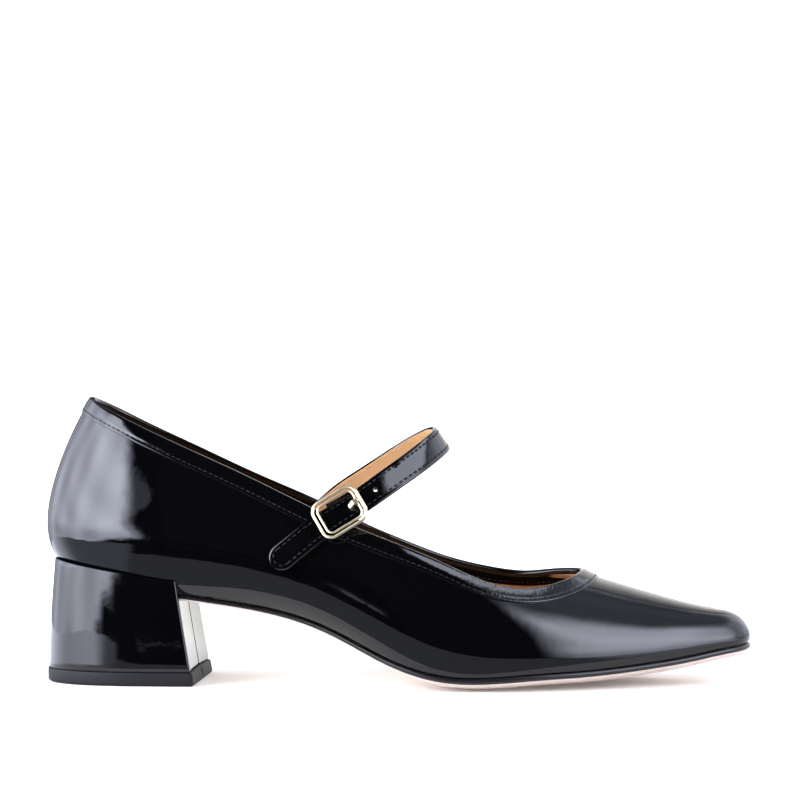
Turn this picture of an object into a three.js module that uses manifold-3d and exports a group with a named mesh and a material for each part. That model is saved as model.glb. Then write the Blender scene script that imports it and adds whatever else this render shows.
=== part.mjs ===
// Mary jane pump with a block heel: one right shoe, size EU 37, standing empty on a floor.
// Millimetres. +X runs from heel to toe, +Y to the inner (medial) side, +Z up.
// Every soft piece is cut from one last surface: place(u, t), where u runs once round the
// bottom edge of the last and t climbs from that edge (0) to the spine of the last (1).

import * as THREE from 'three';
import { mergeVertices } from 'three/addons/utils/BufferGeometryUtils.js';
import Module from 'manifold-3d';

const wasm = await Module();
wasm.setup();

// ---------- driving sizes ----------
const WALL = 1.5; // patent leather, stiffener and lining together
const GAP = 0.3; // clearance between neighbouring pieces
const THROAT_X = 195.5; // front of the opening
const CURL = 0.15; // how quickly the side swells out above the bottom edge
const INSOLE = 2.8; // insole board with its sock
const TOPLIFT = 5.0; // rubber heel tip
const STRAP_WIDTH = 9.5;
const STRAP_THICK = 2.0;
const BUCKLE_LONG = 18.3; // along the strap
const BUCKLE_WIDE = 15.2; // across the strap
const BUCKLE_WIRE = 1.2;
const BUCKLE_CORNER = 4.2;
const BUCKLE_X = 109.5; // where the buckle's middle lies along the shoe
const BUCKLE_LIFT = 0.8; // it rides so far over the strap, beyond the clearance
const INNER_RING_LONG = 15;
const INNER_RING_WIDE = 11.9;
const INNER_RING_WIRE = 0.9;
const INNER_RING_CORNER = 2.7;
const INNER_RING_SHIFT = 0.2; // towards the toe
const BRIDGE = [1.7, 0.8, 0.8]; // the two short bars that tie the rings together
const BRIDGE_X = 7.9;
const BRIDGE_INSET = 1.7; // from the inner ring's side to a bridge
const PRONG_LONG = 2.1; // to the middle of its round tip
const PRONG_HALF = 0.9;
const PRONG_THICK = 0.8;
const PRONG_X = 6.4; // its root, from the buckle's middle
const PRONG_DROP = 0.4;

// Last stations from the back of the heel to the tip of the toe.
// x, then y and z of the bottom edge on the outer and the inner side, then the spine
// above it, then the fullness of the section and its swell on the outer and inner side.
const LAST_COLUMNS = [
  'x', 'yOut', 'zOut', 'yIn', 'zIn', 'spineX', 'spineY', 'spineZ', 'full', 'swellOut', 'swellIn',
];
const LAST_ROWS = [
  [9.4, 0.0, 38.2, 0.0, 38.2, 45.0, 0.0, 128.0, 2.0, 18.0, 18.0],
  [12.0, -10.5, 37.8, 10.5, 37.8, 46.0, 0.0, 127.5, 2.0, 15.5, 15.5],
  [20.0, -18.5, 36.8, 18.5, 36.9, 50.0, 0.0, 126.0, 2.1, 11.5, 11.5],
  [35.0, -22.0, 34.8, 21.5, 35.2, 59.0, 0.0, 121.5, 2.4, 10.5, 10.5],
  [56.0, -22.0, 32.0, 20.5, 33.2, 73.0, 0.0, 112.0, 2.9, 11.5, 12.0],
  [80.0, -21.5, 28.3, 17.5, 30.8, 91.0, 0.0, 98.5, 3.1, 12.0, 15.0],
  [103.0, -25.5, 21.8, 16.5, 26.0, 109.0, 0.0, 86.0, 3.0, 9.5, 15.5],
  [124.0, -32.5, 12.0, 21.0, 17.0, 127.0, 0.0, 74.0, 2.7, 6.5, 11.5],
  [143.0, -38.5, 6.2, 29.5, 9.0, 144.0, 0.5, 64.0, 2.3, 4.0, 7.0],
  [161.0, -39.5, 5.3, 35.0, 6.0, 161.0, 1.0, 55.0, 2.1, 3.0, 3.8],
  [179.0, -36.5, 6.4, 35.5, 6.4, 179.0, 1.6, 46.0, 2.05, 2.6, 3.0],
  [197.0, -30.3, 7.2, 32.3, 7.2, 197.0, 2.2, 39.2, 2.05, 2.6, 2.6],
  [215.0, -23.2, 8.8, 26.7, 8.8, 215.0, 2.8, 33.7, 2.1, 2.4, 2.4],
  [231.0, -16.8, 10.9, 20.8, 10.9, 229.0, 3.2, 29.8, 2.3, 2.0, 2.0],
  [243.5, -11.0, 13.1, 15.6, 13.1, 237.5, 3.2, 27.6, 2.4, 1.6, 1.6],
  [251.5, -6.0, 14.3, 10.8, 14.3, 240.5, 3.0, 26.8, 2.4, 1.4, 1.4],
  [254.6, 2.6, 14.8, 2.6, 14.8, 241.5, 2.8, 26.6, 2.4, 1.4, 1.4],
];

// Height of the topline over the shoe's length, on the outer and the inner side.
const TOPLINE_COLUMNS = ['x', 'zOut', 'zIn'];
const TOPLINE_ROWS = [
  [14.0, 103.2, 103.2],
  [22.0, 98.9, 98.9],
  [30.0, 95.0, 94.6],
  [52.0, 84.8, 84.1],
  [74.5, 74.6, 73.8],
  [97.0, 63.9, 64.1],
  [117.0, 55.4, 54.3],
  [130.5, 50.3, 48.6],
  [144.5, 44.7, 43.3],
  [158.5, 38.5, 39.9],
  [173.5, 35.1, 38.2],
  [186.5, 36.1, 38.9],
  [193.0, 38.3, 39.3],
  [195.5, 39.7, 39.7],
];

// Sole along the shoe: how far its edge stands out past the bottom edge of the upper,
// the thickness of that edge, and how much deeper the middle of the sole hangs.
const SOLE_COLUMNS = ['x', 'proud', 'edge', 'belly'];
const SOLE_ROWS = [
  [0, -0.2, 1.5, 0.0],
  [40, -0.2, 1.5, 0.0],
  [58, 0.1, 2.0, 0.3],
  [85, 0.2, 2.4, 0.8],
  [115, 0.5, 2.9, 1.4],
  [140, 0.8, 3.1, 2.3],
  [175, 0.8, 3.1, 2.4],
  [205, 0.8, 3.0, 2.2],
  [235, 0.8, 2.9, 1.6],
  [256, 0.8, 2.8, 0.8],
];

// Rounded edge of the sole, from top to bottom: share of the edge's thickness, and inset.
const SOLE_EDGE = [
  [0.0, 0.7],
  [0.18, 0.0],
  [0.55, 0.0],
  [0.75, 0.5],
  [1.0, 1.8],
];

// Heel from the toplift to its rim: height, back x, breast x and half width.
const HEEL_ROWS = [
  [5.3, 0.4, 55.4, 26.4],
  [18.0, 0.9, 53.2, 26.0],
  [30.0, 1.6, 51.2, 25.7],
  [43.0, 2.6, 49.2, 25.5],
];
const HEEL_RIM = 44.7; // rim height at the very back
const HEEL_RIM_SLOPE = 0.139; // the rim falls towards the breast
const HEEL_ROUND = 38; // length of the rounded back, in plan
const HEEL_FULL = 0.86; // power of that round; 1 would be an ellipse
const HEEL_CORNER = 1.0; // chamfer of the breast corners
const HEEL_CUP_RISES = [0, 1.2, 2.6, 4.2, 6.5, 9, 12]; // rings of the last that hollow its top
const TOPLIFT_BACK = 0.1;
const TOPLIFT_BREAST = 56.8; // at the floor
const TOPLIFT_LEAN = 0.9; // its breast leans back as much as this, floor to top
const TOPLIFT_HALF = 26.4;
const TOPLIFT_SOFT = 0.7; // chamfer of its lower edge

// Middle line of the strap. On the foot's outer side the tail lies on the quarter, and
// inside the inner quarter the other end runs down the lining: there y is left out (null).
const STRAP_ROUTE = [
  [85.3, null, 43.6],
  [93.2, null, 49.8],
  [99.7, null, 54.8],
  [105.0, null, 58.5],
  [112.0, -29.0, 63.4],
  [119.5, -27.0, 68.5],
  [127.2, -23.2, 74.1],
  [134.6, -17.2, 79.5],
  [140.7, -9.0, 84.5],
  [143.4, 0.4, 87.6],
  [141.0, 9.2, 88.0],
  [134.0, 15.8, 84.8],
  [124.5, 18.8, 79.0],
  [113.0, 19.2, 71.5],
  [104.5, 17.8, 65.5],
  [97.0, null, 59.6],
  [90.0, null, 54.6],
];
const STRAP_LEAN = [-0.54, 0.78]; // x and z of the strap's width direction where it is free
const STRAP_TIP = [0.2, 0.8, 1.8, 3.2]; // stations along the rounded tail end
const STRAP_FLARE = 0.013; // the free strap leans inwards, per millimetre off the middle

// ---------- mesh sizes ----------
const COLUMNS = 44; // stations from heel to toe on each side
const THROAT_COLUMN = 33;
const THROAT_CROWD = 0.14; // how tightly the column tops crowd towards the throat
const ROWS = 11;
const ACROSS = 8;

const lerp = THREE.MathUtils.lerp;
const clamp = THREE.MathUtils.clamp;
const vec = (x, y, z) => new THREE.Vector3(x, y, z);

// ---------- smooth tables ----------

/** Smooth curve through knots. Slopes are relaxed until the bend is continuous. */
function spline(xs, ys, period = 0) {
  const count = xs.length;
  const slopes = ys.map(() => 0);
  const seam = period + xs[0] - xs[count - 1];
  const before = (i) => (i > 0 ? [xs[i] - xs[i - 1], i - 1] : [seam, count - 1]);
  const after = (i) => (i < count - 1 ? [xs[i + 1] - xs[i], i + 1] : [seam, 0]);
  for (let pass = 0; pass < 60; pass++) {
    for (let i = 0; i < count; i++) {
      let weight = 0;
      let pull = 0;
      const sides = [];
      if (period || i > 0) sides.push([...before(i), 1]);
      if (period || i < count - 1) sides.push([...after(i), -1]);
      for (const [gap, j, sign] of sides) {
        weight += 2 / gap;
        pull += (3 * sign * (ys[i] - ys[j])) / (gap * gap) - slopes[j] / gap;
      }
      slopes[i] = pull / weight;
    }
  }
  return (x) => {
    const at = period ? THREE.MathUtils.euclideanModulo(x, period) : x;
    let i = 0;
    while (i < count - (period ? 1 : 2) && at >= xs[i + 1]) i++;
    const [gap, j] = after(i);
    const s = (at - xs[i]) / gap;
    const rise = (1 + 2 * s) * (1 - s) ** 2 * ys[i] + (3 - 2 * s) * s * s * ys[j];
    return rise + gap * s * (1 - s) * ((1 - s) * slopes[i] - s * slopes[j]);
  };
}

/** One smooth function per named column of a table whose first column is x. */
function smoothTable(columns, rows) {
  const xs = rows.map((row) => row[0]);
  const table = {};
  columns.forEach((name, k) => {
    table[name] = spline(xs, rows.map((row) => row[k]));
  });
  return table;
}

// u at the toe; u runs on to 2 * STATIONS round the inner side.
const STATIONS = LAST_ROWS.length - 1;

/** Closed smooth function of u from an outer and an inner column of the last table. */
function roundTheLast(outer, inner = outer) {
  const column = (name) => LAST_ROWS.map((row) => row[LAST_COLUMNS.indexOf(name)]);
  const back = column(inner).slice(1, -1).reverse();
  const values = [...column(outer), ...back];
  return spline(values.map((_, i) => i), values, values.length);
}

const last = {
  x: roundTheLast('x'),
  y: roundTheLast('yOut', 'yIn'),
  z: roundTheLast('zOut', 'zIn'),
  spineX: roundTheLast('spineX'),
  spineY: roundTheLast('spineY'),
  spineZ: roundTheLast('spineZ'),
  full: roundTheLast('full'),
  swell: roundTheLast('swellOut', 'swellIn'),
};
const topline = smoothTable(TOPLINE_COLUMNS, TOPLINE_ROWS);
const sole = smoothTable(SOLE_COLUMNS, SOLE_ROWS);

// ---------- the last surface ----------

/** Point of the last: a superellipse arch from edge to spine, swollen above the edge. */
function place(u, t) {
  const power = 2 / last.full(u);
  const angle = (Math.PI / 2) * t ** (1 / power);
  const reach = Math.cos(angle) ** power;
  const climb = Math.sin(angle) ** power;
  const dx = last.x(u) - last.spineX(u);
  const dy = last.y(u) - last.spineY(u);
  const swell = last.swell(u) * (1 - climb) * (1 - Math.exp(-climb / CURL));
  const scale = (t >= 1 ? 0 : reach) + swell / Math.hypot(dx, dy);
  return vec(
    last.spineX(u) + dx * scale,
    last.spineY(u) + dy * scale,
    lerp(last.z(u), last.spineZ(u), climb),
  );
}

/** Outward unit normal of the last. On the spine it is square to the spine line. */
function normalAt(u, t) {
  const step = 0.01;
  if (t > 0.985) {
    const along = place(u + step, 1).sub(place(u - step, 1));
    const side = vec(along.y, -along.x, 0);
    const up = side.cross(along).normalize();
    return up.z < 0 ? up.negate() : up;
  }
  const mid = clamp(t, 0.02, 0.98);
  const along = place(u + step, mid).sub(place(u - step, mid));
  const up = place(u, mid + step).sub(place(u, mid - step));
  return along.cross(up).normalize();
}

/** Point of the last moved off it by a distance, outwards when positive. */
function offset(u, t, distance) {
  return place(u, t).addScaledVector(normalAt(u, t), distance);
}

/** t at which a line round the last crosses the height wanted(x). */
function climbTo(u, wanted) {
  let low = 0;
  let high = 1;
  for (let pass = 0; pass < 40; pass++) {
    const mid = (low + high) / 2;
    const point = place(u, mid);
    if (point.z < wanted(point.x)) low = mid;
    else high = mid;
  }
  return (low + high) / 2;
}

/** u on the spine above a given x, between the ball and the toe. */
function spineAt(x) {
  let low = 8;
  let high = STATIONS - 1;
  for (let pass = 0; pass < 40; pass++) {
    const mid = (low + high) / 2;
    if (last.spineX(mid) < x) low = mid;
    else high = mid;
  }
  return low;
}

const THROAT_U = spineAt(THROAT_X);

/** u at the top of a column: crowded towards the throat, then spread along the spine. */
function topOfColumn(column) {
  if (column >= THROAT_COLUMN) {
    return lerp(THROAT_U, STATIONS, (column - THROAT_COLUMN) / (COLUMNS - THROAT_COLUMN));
  }
  const away = 1 - column / THROAT_COLUMN;
  return THROAT_U * (1 - (away * away * (1 + THROAT_CROWD)) / (away + THROAT_CROWD));
}

/** Column line from the bottom edge to the topline or spine, as a function of v from 0 to 1. */
function columnLine(column) {
  const inner = column > COLUMNS;
  const own = inner ? 2 * COLUMNS - column : column;
  const flip = (u) => (inner ? 2 * STATIONS - u : u);
  const bottom = (STATIONS * own) / COLUMNS;
  const top = topOfColumn(own);
  const wanted = inner ? topline.zIn : topline.zOut;
  const end = own < THROAT_COLUMN ? climbTo(flip(top), wanted) : 1;
  return (v) => {
    const t = end * v;
    const slide = v * v * (3 - 2 * v);
    return [flip(lerp(bottom, top, slide)), t];
  };
}

// ---------- building closed meshes ----------

const closeRing = (ring) => [...ring, ring[0]];

/** Collects quads and makes one closed indexed geometry of them. */
class Skin {
  constructor() {
    this.points = [];
  }

  quad(a, b, c, d) {
    for (const p of [a, b, c, a, c, d]) this.points.push(p.x, p.y, p.z);
  }

  /** Quads between two lists of points that run side by side. */
  strip(lower, upper) {
    for (let i = 0; i + 1 < lower.length; i++) {
      this.quad(lower[i], lower[i + 1], upper[i + 1], upper[i]);
    }
  }

  /** Walls between closed rings stacked one over another. */
  stack(rings) {
    for (let i = 0; i + 1 < rings.length; i++) {
      this.strip(closeRing(rings[i]), closeRing(rings[i + 1]));
    }
  }

  geometry() {
    const loose = new THREE.BufferGeometry();
    loose.setAttribute('position', new THREE.Float32BufferAttribute(this.points, 3));
    const merged = mergeVertices(loose, 1e-4);
    const index = merged.index.array;
    const kept = [];
    for (let i = 0; i < index.length; i += 3) {
      const [a, b, c] = [index[i], index[i + 1], index[i + 2]];
      if (a !== b && b !== c && c !== a) kept.push(a, b, c);
    }
    merged.setIndex(kept);
    return merged;
  }
}

const evenly = (from, to, count) => (
  Array.from({ length: count }, (_, i) => lerp(from, to, i / (count - 1)))
);

/** Ruled cap over a ring of 2 * COLUMNS points, hung down by drop(point, w) off the middle. */
function capRows(ring, drop) {
  const rows = [];
  for (let j = 0; j <= ring.length / 2; j++) {
    const a = ring[j];
    const b = ring[(ring.length - j) % ring.length];
    const row = [];
    for (let k = 0; k <= ACROSS; k++) {
      const point = a.clone().lerp(b, k / ACROSS);
      const w = (2 * k) / ACROSS - 1;
      if (k > 0 && k < ACROSS && a !== b) point.z = drop(point, w);
      row.push(point);
    }
    rows.push(row);
  }
  return rows;
}

/** Closed body from rings stacked upwards, with a lower and an upper ruled cap. */
function slab(rings, lowDrop, highDrop) {
  const skin = new Skin();
  skin.stack(rings);
  const low = capRows(rings[0], lowDrop);
  const high = capRows(rings[rings.length - 1], highDrop);
  for (let j = 0; j + 1 < low.length; j++) {
    skin.strip(low[j], low[j + 1]);
    skin.strip(high[j + 1], high[j]);
  }
  return skin.geometry();
}

/** The bottom edge of the last pushed out in plan, as a ring with its own heights. */
function edgeRing(push, height) {
  const ring = [];
  for (let j = 0; j < 2 * COLUMNS; j++) {
    const u = (STATIONS * j) / COLUMNS;
    const point = place(u, 0);
    const step = 0.02;
    const along = place(u + step, 0).sub(place(u - step, 0));
    const out = vec(along.y, -along.x, 0).normalize();
    const x = point.x;
    point.addScaledVector(out, push(x));
    point.z = height(point.z, x);
    ring.push(point);
  }
  return ring;
}

/** Ring at a rise above the bottom edge, moved off the last. */
function lastRing(rise, distance) {
  const ring = [];
  for (let j = 0; j < 2 * COLUMNS; j++) {
    const u = (STATIONS * j) / COLUMNS;
    ring.push(offset(u, climbTo(u, () => last.z(u) + rise), distance));
  }
  return ring;
}

// ---------- solids with manifold ----------

function toSolid(geometry) {
  return new wasm.Manifold(new wasm.Mesh({
    numProp: 3,
    vertProperties: new Float32Array(geometry.attributes.position.array),
    triVerts: new Uint32Array(geometry.index.array),
  }));
}

function fromSolid(solid) {
  const mesh = solid.getMesh();
  const geometry = new THREE.BufferGeometry();
  const positions = new THREE.Float32BufferAttribute(mesh.vertProperties, mesh.numProp);
  geometry.setAttribute('position', positions);
  geometry.setIndex(Array.from(mesh.triVerts));
  return geometry;
}

// ---------- the pieces ----------

/** Hollow upper: an outer and an inner skin joined round the topline and the bottom edge. */
function upperGeometry() {
  const skin = new Skin();
  const outer = [];
  const inner = [];
  for (let j = 0; j <= 2 * COLUMNS; j++) {
    const line = columnLine(j % (2 * COLUMNS));
    const outerColumn = [];
    const innerColumn = [];
    for (let i = 0; i <= ROWS; i++) {
      const v = (i / ROWS) ** 1.15;
      outerColumn.push(offset(...line(v), 0));
      innerColumn.push(offset(...line(v), -WALL));
    }
    outer.push(outerColumn);
    inner.push(innerColumn);
  }
  for (let j = 0; j < 2 * COLUMNS; j++) {
    skin.strip(outer[j + 1], outer[j]);
    skin.strip(inner[j], inner[j + 1]);
    const open = j < THROAT_COLUMN || j >= 2 * COLUMNS - THROAT_COLUMN;
    skin.quad(outer[j][0], inner[j][0], inner[j + 1][0], outer[j + 1][0]);
    if (open) skin.quad(inner[j][ROWS], outer[j][ROWS], outer[j + 1][ROWS], inner[j + 1][ROWS]);
  }
  return skin.geometry();
}

const soleTop = (z) => z - GAP;

/** Outsole: rounded edge, hollow arch, and a belly cut off flat by the floor under the ball. */
function outsoleGeometry(grow = 0) {
  const rings = SOLE_EDGE.map(([share, inset]) => edgeRing(
    (x) => sole.proud(x) - inset * clamp(x / 120, 0.3, 1) + grow,
    (z, x) => soleTop(z) - share * sole.edge(x) - (share > 0.5 ? grow : -grow),
  )).reverse();
  const low = (point, w) => Math.max(0, point.z - sole.belly(point.x) * (1 - w ** 4) - grow);
  const high = (point, w) => point.z - 0.3 * (1 - w * w);
  return slab(rings, low, high);
}

/** Insole: fits inside the upper's inner skin and lies just over the sole. */
function insoleGeometry() {
  const clear = -(WALL + GAP + 0.5);
  const rings = [0, 0.5, 1].map((share) => lastRing(share * INSOLE, clear));
  rings.unshift(rings[0].map((point, j) => {
    const rest = last.z((STATIONS * j) / COLUMNS) + 0.1;
    return vec(point.x, point.y, Math.min(point.z - 0.2, rest));
  }));
  const low = (point, w) => point.z - 0.3 * (1 - w * w);
  const high = (point, w) => point.z - 0.8 * (1 - w * w);
  return slab(rings, low, high);
}

/** Plan of the heel: straight sides and a rounded back, as a closed ring. */
function heelRing(back, breast, half, height) {
  const bend = 14;
  const ring = [];
  for (let i = -bend; i <= bend; i++) {
    const angle = (i / bend) * (Math.PI / 2);
    const x = back + HEEL_ROUND * (1 - Math.cos(angle) ** HEEL_FULL);
    ring.push([x, half * Math.sign(angle) * Math.abs(Math.sin(angle)) ** HEEL_FULL]);
  }
  const corner = breast - HEEL_CORNER;
  ring.push([corner, half], [breast, half - HEEL_CORNER]);
  ring.push([breast, HEEL_CORNER - half], [corner, -half]);
  return ring.map(([x, y]) => vec(x, y, height(x)));
}

/** Closed loft through rings of equal count, closed by fans from each ring's middle. */
function loft(rings) {
  const skin = new Skin();
  skin.stack(rings);
  const fan = (ring, up) => {
    const middle = vec(0, 0, 0);
    for (const point of ring) middle.addScaledVector(point, 1 / ring.length);
    const round = closeRing(ring);
    for (let i = 0; i < ring.length; i++) {
      const pair = up ? [round[i], round[i + 1]] : [round[i + 1], round[i]];
      for (const p of [middle, ...pair]) skin.points.push(p.x, p.y, p.z);
    }
  };
  fan(rings[0], false);
  fan(rings[rings.length - 1], true);
  return skin.geometry();
}

/** Block heel: flared prism, its top hollowed to cup the sole and the back of the upper. */
function heelGeometry() {
  const rings = HEEL_ROWS.map(([z, back, breast, half], i) => {
    const isRim = i === HEEL_ROWS.length - 1;
    const height = (x) => (isRim ? HEEL_RIM - HEEL_RIM_SLOPE * x : z);
    return heelRing(back, breast, half, height).reverse();
  });
  const block = toSolid(loft(rings));
  const seat = toSolid(outsoleGeometry(GAP));
  const sunk = (point) => point.z - 0.8;
  const level = (point) => point.z;
  const cup = toSolid(slab(HEEL_CUP_RISES.map((rise) => lastRing(rise, GAP)), sunk, level));
  return fromSolid(block.subtract(seat).subtract(cup));
}

/** Rubber toplift with a softened lower edge. */
function topliftGeometry() {
  const profile = [
    [0, -TOPLIFT_SOFT],
    [TOPLIFT_SOFT, 0],
    [TOPLIFT, 0],
  ];
  return loft(profile.map(([z, grow]) => {
    const breast = TOPLIFT_BREAST - TOPLIFT_LEAN * (z / TOPLIFT) + grow;
    return heelRing(TOPLIFT_BACK - grow, breast, TOPLIFT_HALF + grow, () => z).reverse();
  }));
}

/** Nearest station and climb of the last for a side-view point. */
function onLast(x, z, outer) {
  let low = 2;
  let high = STATIONS - 2;
  const flip = (u) => (outer ? u : 2 * STATIONS - u);
  for (let pass = 0; pass < 40; pass++) {
    const mid = (low + high) / 2;
    const point = place(flip(mid), climbTo(flip(mid), () => z));
    if (point.x < x) low = mid;
    else high = mid;
  }
  return [flip(low), climbTo(flip(low), () => z)];
}

/** Strap stations: middle point, direction along, direction across and outward direction. */
function strapStations() {
  const half = STRAP_THICK / 2;
  const points = [];
  const faces = [];
  STRAP_ROUTE.forEach(([x, y, z], i) => {
    if (y !== null) {
      points.push(vec(x, y, z));
      return;
    }
    const outer = i < STRAP_ROUTE.length / 2;
    const [u, t] = onLast(x, z, outer);
    faces[i] = normalAt(u, t);
    points.push(offset(u, t, outer ? GAP + half + 0.4 : -(WALL + GAP + half + 1.5)));
  });
  const route = new THREE.CatmullRomCurve3(points, false, 'centripetal');
  points.forEach((point, i) => {
    if (faces[i]) return;
    const along = route.getTangent(i / (points.length - 1));
    const across = vec(STRAP_LEAN[0], -STRAP_FLARE * point.y, STRAP_LEAN[1]);
    faces[i] = along.cross(across).normalize();
  });
  const facing = new THREE.CatmullRomCurve3(faces, false, 'centripetal');
  const length = route.getLength();
  const stations = [];
  for (const distance of [...STRAP_TIP, ...evenly(STRAP_WIDTH / 2, length, 40)]) {
    const share = route.getUtoTmapping(distance / length);
    const along = route.getTangent(share);
    const out = facing.getPoint(share);
    out.addScaledVector(along, -out.dot(along)).normalize();
    const across = out.clone().cross(along);
    stations.push({ point: route.getPoint(share), distance, along, across, out });
  }
  return stations;
}

function strapGeometry() {
  const rings = strapStations().map(({ point, distance, across, out }) => {
    const tip = Math.min(1, distance / (STRAP_WIDTH / 2));
    const half = (STRAP_WIDTH / 2) * Math.sqrt(1 - (1 - tip) ** 2);
    const thick = STRAP_THICK / 2;
    const soft = Math.min(0.5, half / 3);
    const section = [
      [-half + soft, -thick], [half - soft, -thick], [half, -thick + soft], [half, thick - soft],
      [half - soft, thick], [-half + soft, thick], [-half, thick - soft], [-half, -thick + soft],
    ];
    return section.map(([w, h]) => (
      point.clone().addScaledVector(across, w).addScaledVector(out, h)
    ));
  });
  return loft(rings);
}

/** Closed ring of round wire along a rounded rectangle in the XY plane. */
function wireRing(long, wide, corner, wire) {
  const centres = [];
  const arc = 5;
  const corners = [[1, 1], [-1, 1], [-1, -1], [1, -1]];
  corners.forEach(([sx, sy], quarter) => {
    for (let i = 0; i <= arc; i++) {
      const angle = ((quarter + i / arc) * Math.PI) / 2;
      const out = vec(Math.cos(angle), Math.sin(angle), 0);
      const middle = vec(sx * (long / 2 - corner), sy * (wide / 2 - corner), 0);
      centres.push({ point: middle.addScaledVector(out, corner - wire / 2), out });
    }
  });
  const skin = new Skin();
  const sides = 8;
  const rings = centres.map(({ point, out }) => {
    const ring = [];
    for (let k = 0; k < sides; k++) {
      const angle = (k / sides) * 2 * Math.PI;
      const spot = point.clone().addScaledVector(out, (wire / 2) * Math.cos(angle));
      spot.z += (wire / 2) * Math.sin(angle);
      ring.push(spot);
    }
    return closeRing(ring);
  });
  rings.push(rings[0]);
  for (let i = 0; i + 1 < rings.length; i++) skin.strip(rings[i + 1], rings[i]);
  return skin.geometry();
}

/** The geometry without normals and texture coordinates, its points welded. */
function welded(geometry) {
  geometry.deleteAttribute('normal');
  geometry.deleteAttribute('uv');
  return mergeVertices(geometry, 1e-4);
}

/** A geometry turned into place, as a solid. */
function solidOf(geometry, move = new THREE.Matrix4()) {
  return toSolid(welded(geometry.clone().applyMatrix4(move)));
}

/** Buckle frame in its own plane: two wire rings tied by two short bridges. */
function buckleFrameGeometry() {
  const outer = solidOf(wireRing(BUCKLE_LONG, BUCKLE_WIDE, BUCKLE_CORNER, BUCKLE_WIRE));
  const shift = new THREE.Matrix4().makeTranslation(INNER_RING_SHIFT, 0, 0);
  const ring = wireRing(INNER_RING_LONG, INNER_RING_WIDE, INNER_RING_CORNER, INNER_RING_WIRE);
  const inner = solidOf(ring, shift);
  let frame = outer.add(inner);
  for (const side of [-1, 1]) {
    const bridge = new THREE.BoxGeometry(...BRIDGE);
    const away = side * (INNER_RING_WIDE / 2 - BRIDGE_INSET);
    const spot = new THREE.Matrix4().makeTranslation(BRIDGE_X, away, 0);
    frame = frame.add(solidOf(bridge, spot));
  }
  return fromSolid(frame);
}

/** Prong: a flat tongue from beside the inner ring's front bar, reaching over the strap. */
function buckleProngGeometry() {
  const shape = new THREE.Shape();
  shape.moveTo(0, -PRONG_HALF);
  shape.lineTo(-PRONG_LONG, -PRONG_HALF);
  shape.absarc(-PRONG_LONG, 0, PRONG_HALF, -Math.PI / 2, Math.PI / 2, true);
  shape.lineTo(0, PRONG_HALF);
  shape.closePath();
  const options = { depth: PRONG_THICK, bevelEnabled: false, curveSegments: 8 };
  return welded(new THREE.ExtrudeGeometry(shape, options));
}

// ---------- assembly ----------

const patent = { color: 0x0b0b0d, roughness: 0.08, metalness: 0 };
const looks = {
  upper: patent,
  insole: { color: 0xd2a573, roughness: 0.6, metalness: 0 },
  outsole: { color: 0x1a1a1c, roughness: 0.5, metalness: 0 },
  heel_block: patent,
  toplift: { color: 0x1e1e20, roughness: 0.7, metalness: 0 },
  strap: patent,
  buckle_frame: { color: 0xe8c987, roughness: 0.15, metalness: 1 },
  buckle_prong: { color: 0xe8c987, roughness: 0.15, metalness: 1 },
};

const shoe = new THREE.Group();

function addPiece(name, geometry) {
  const mesh = new THREE.Mesh(geometry, new THREE.MeshStandardMaterial(looks[name]));
  mesh.name = name;
  shoe.add(mesh);
  return mesh;
}

addPiece('upper', upperGeometry());
addPiece('insole', insoleGeometry());
addPiece('outsole', outsoleGeometry());
addPiece('heel_block', heelGeometry());
addPiece('toplift', topliftGeometry());
addPiece('strap', strapGeometry());

// The buckle lies flat over the strap where the strap crosses the outer topline.
const fromBuckle = (station) => Math.abs(station.point.x - BUCKLE_X);
const seat = strapStations()
  .filter((station) => station.point.y < 0)
  .reduce((best, station) => (fromBuckle(station) < fromBuckle(best) ? station : best));
const buckleBasis = new THREE.Matrix4().makeBasis(seat.along, seat.across, seat.out);
const buckleRise = STRAP_THICK / 2 + BUCKLE_WIRE / 2 + GAP + BUCKLE_LIFT;
const slide = (BUCKLE_X - seat.point.x) / seat.along.x;
const buckleSpot = seat.point.clone()
  .addScaledVector(seat.along, slide)
  .addScaledVector(seat.out, buckleRise);
for (const [name, geometry, dx, dz] of [
  ['buckle_frame', buckleFrameGeometry(), 0, 0],
  ['buckle_prong', buckleProngGeometry(), PRONG_X, -PRONG_DROP],
]) {
  const piece = addPiece(name, geometry);
  piece.position.copy(buckleSpot);
  piece.quaternion.setFromRotationMatrix(buckleBasis);
  piece.translateX(dx);
  piece.translateZ(dz);
}

// The frame's origin is the middle of the shoe's footprint box, on the floor.
shoe.updateMatrixWorld(true);
const box = new THREE.Box3().setFromObject(shoe);
const middle = box.getCenter(vec(0, 0, 0));
shoe.position.set(-middle.x, -middle.y, 0);

export default shoe;
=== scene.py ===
"""Mary jane pump, right shoe: finished surfaces, materials, light and camera.

Shapes are worked out in millimetres in the last's own coordinates (x from the back of the
heel, y from the middle line to the inner side, z from the floor) and moved into the frame.
"""
import math

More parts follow.
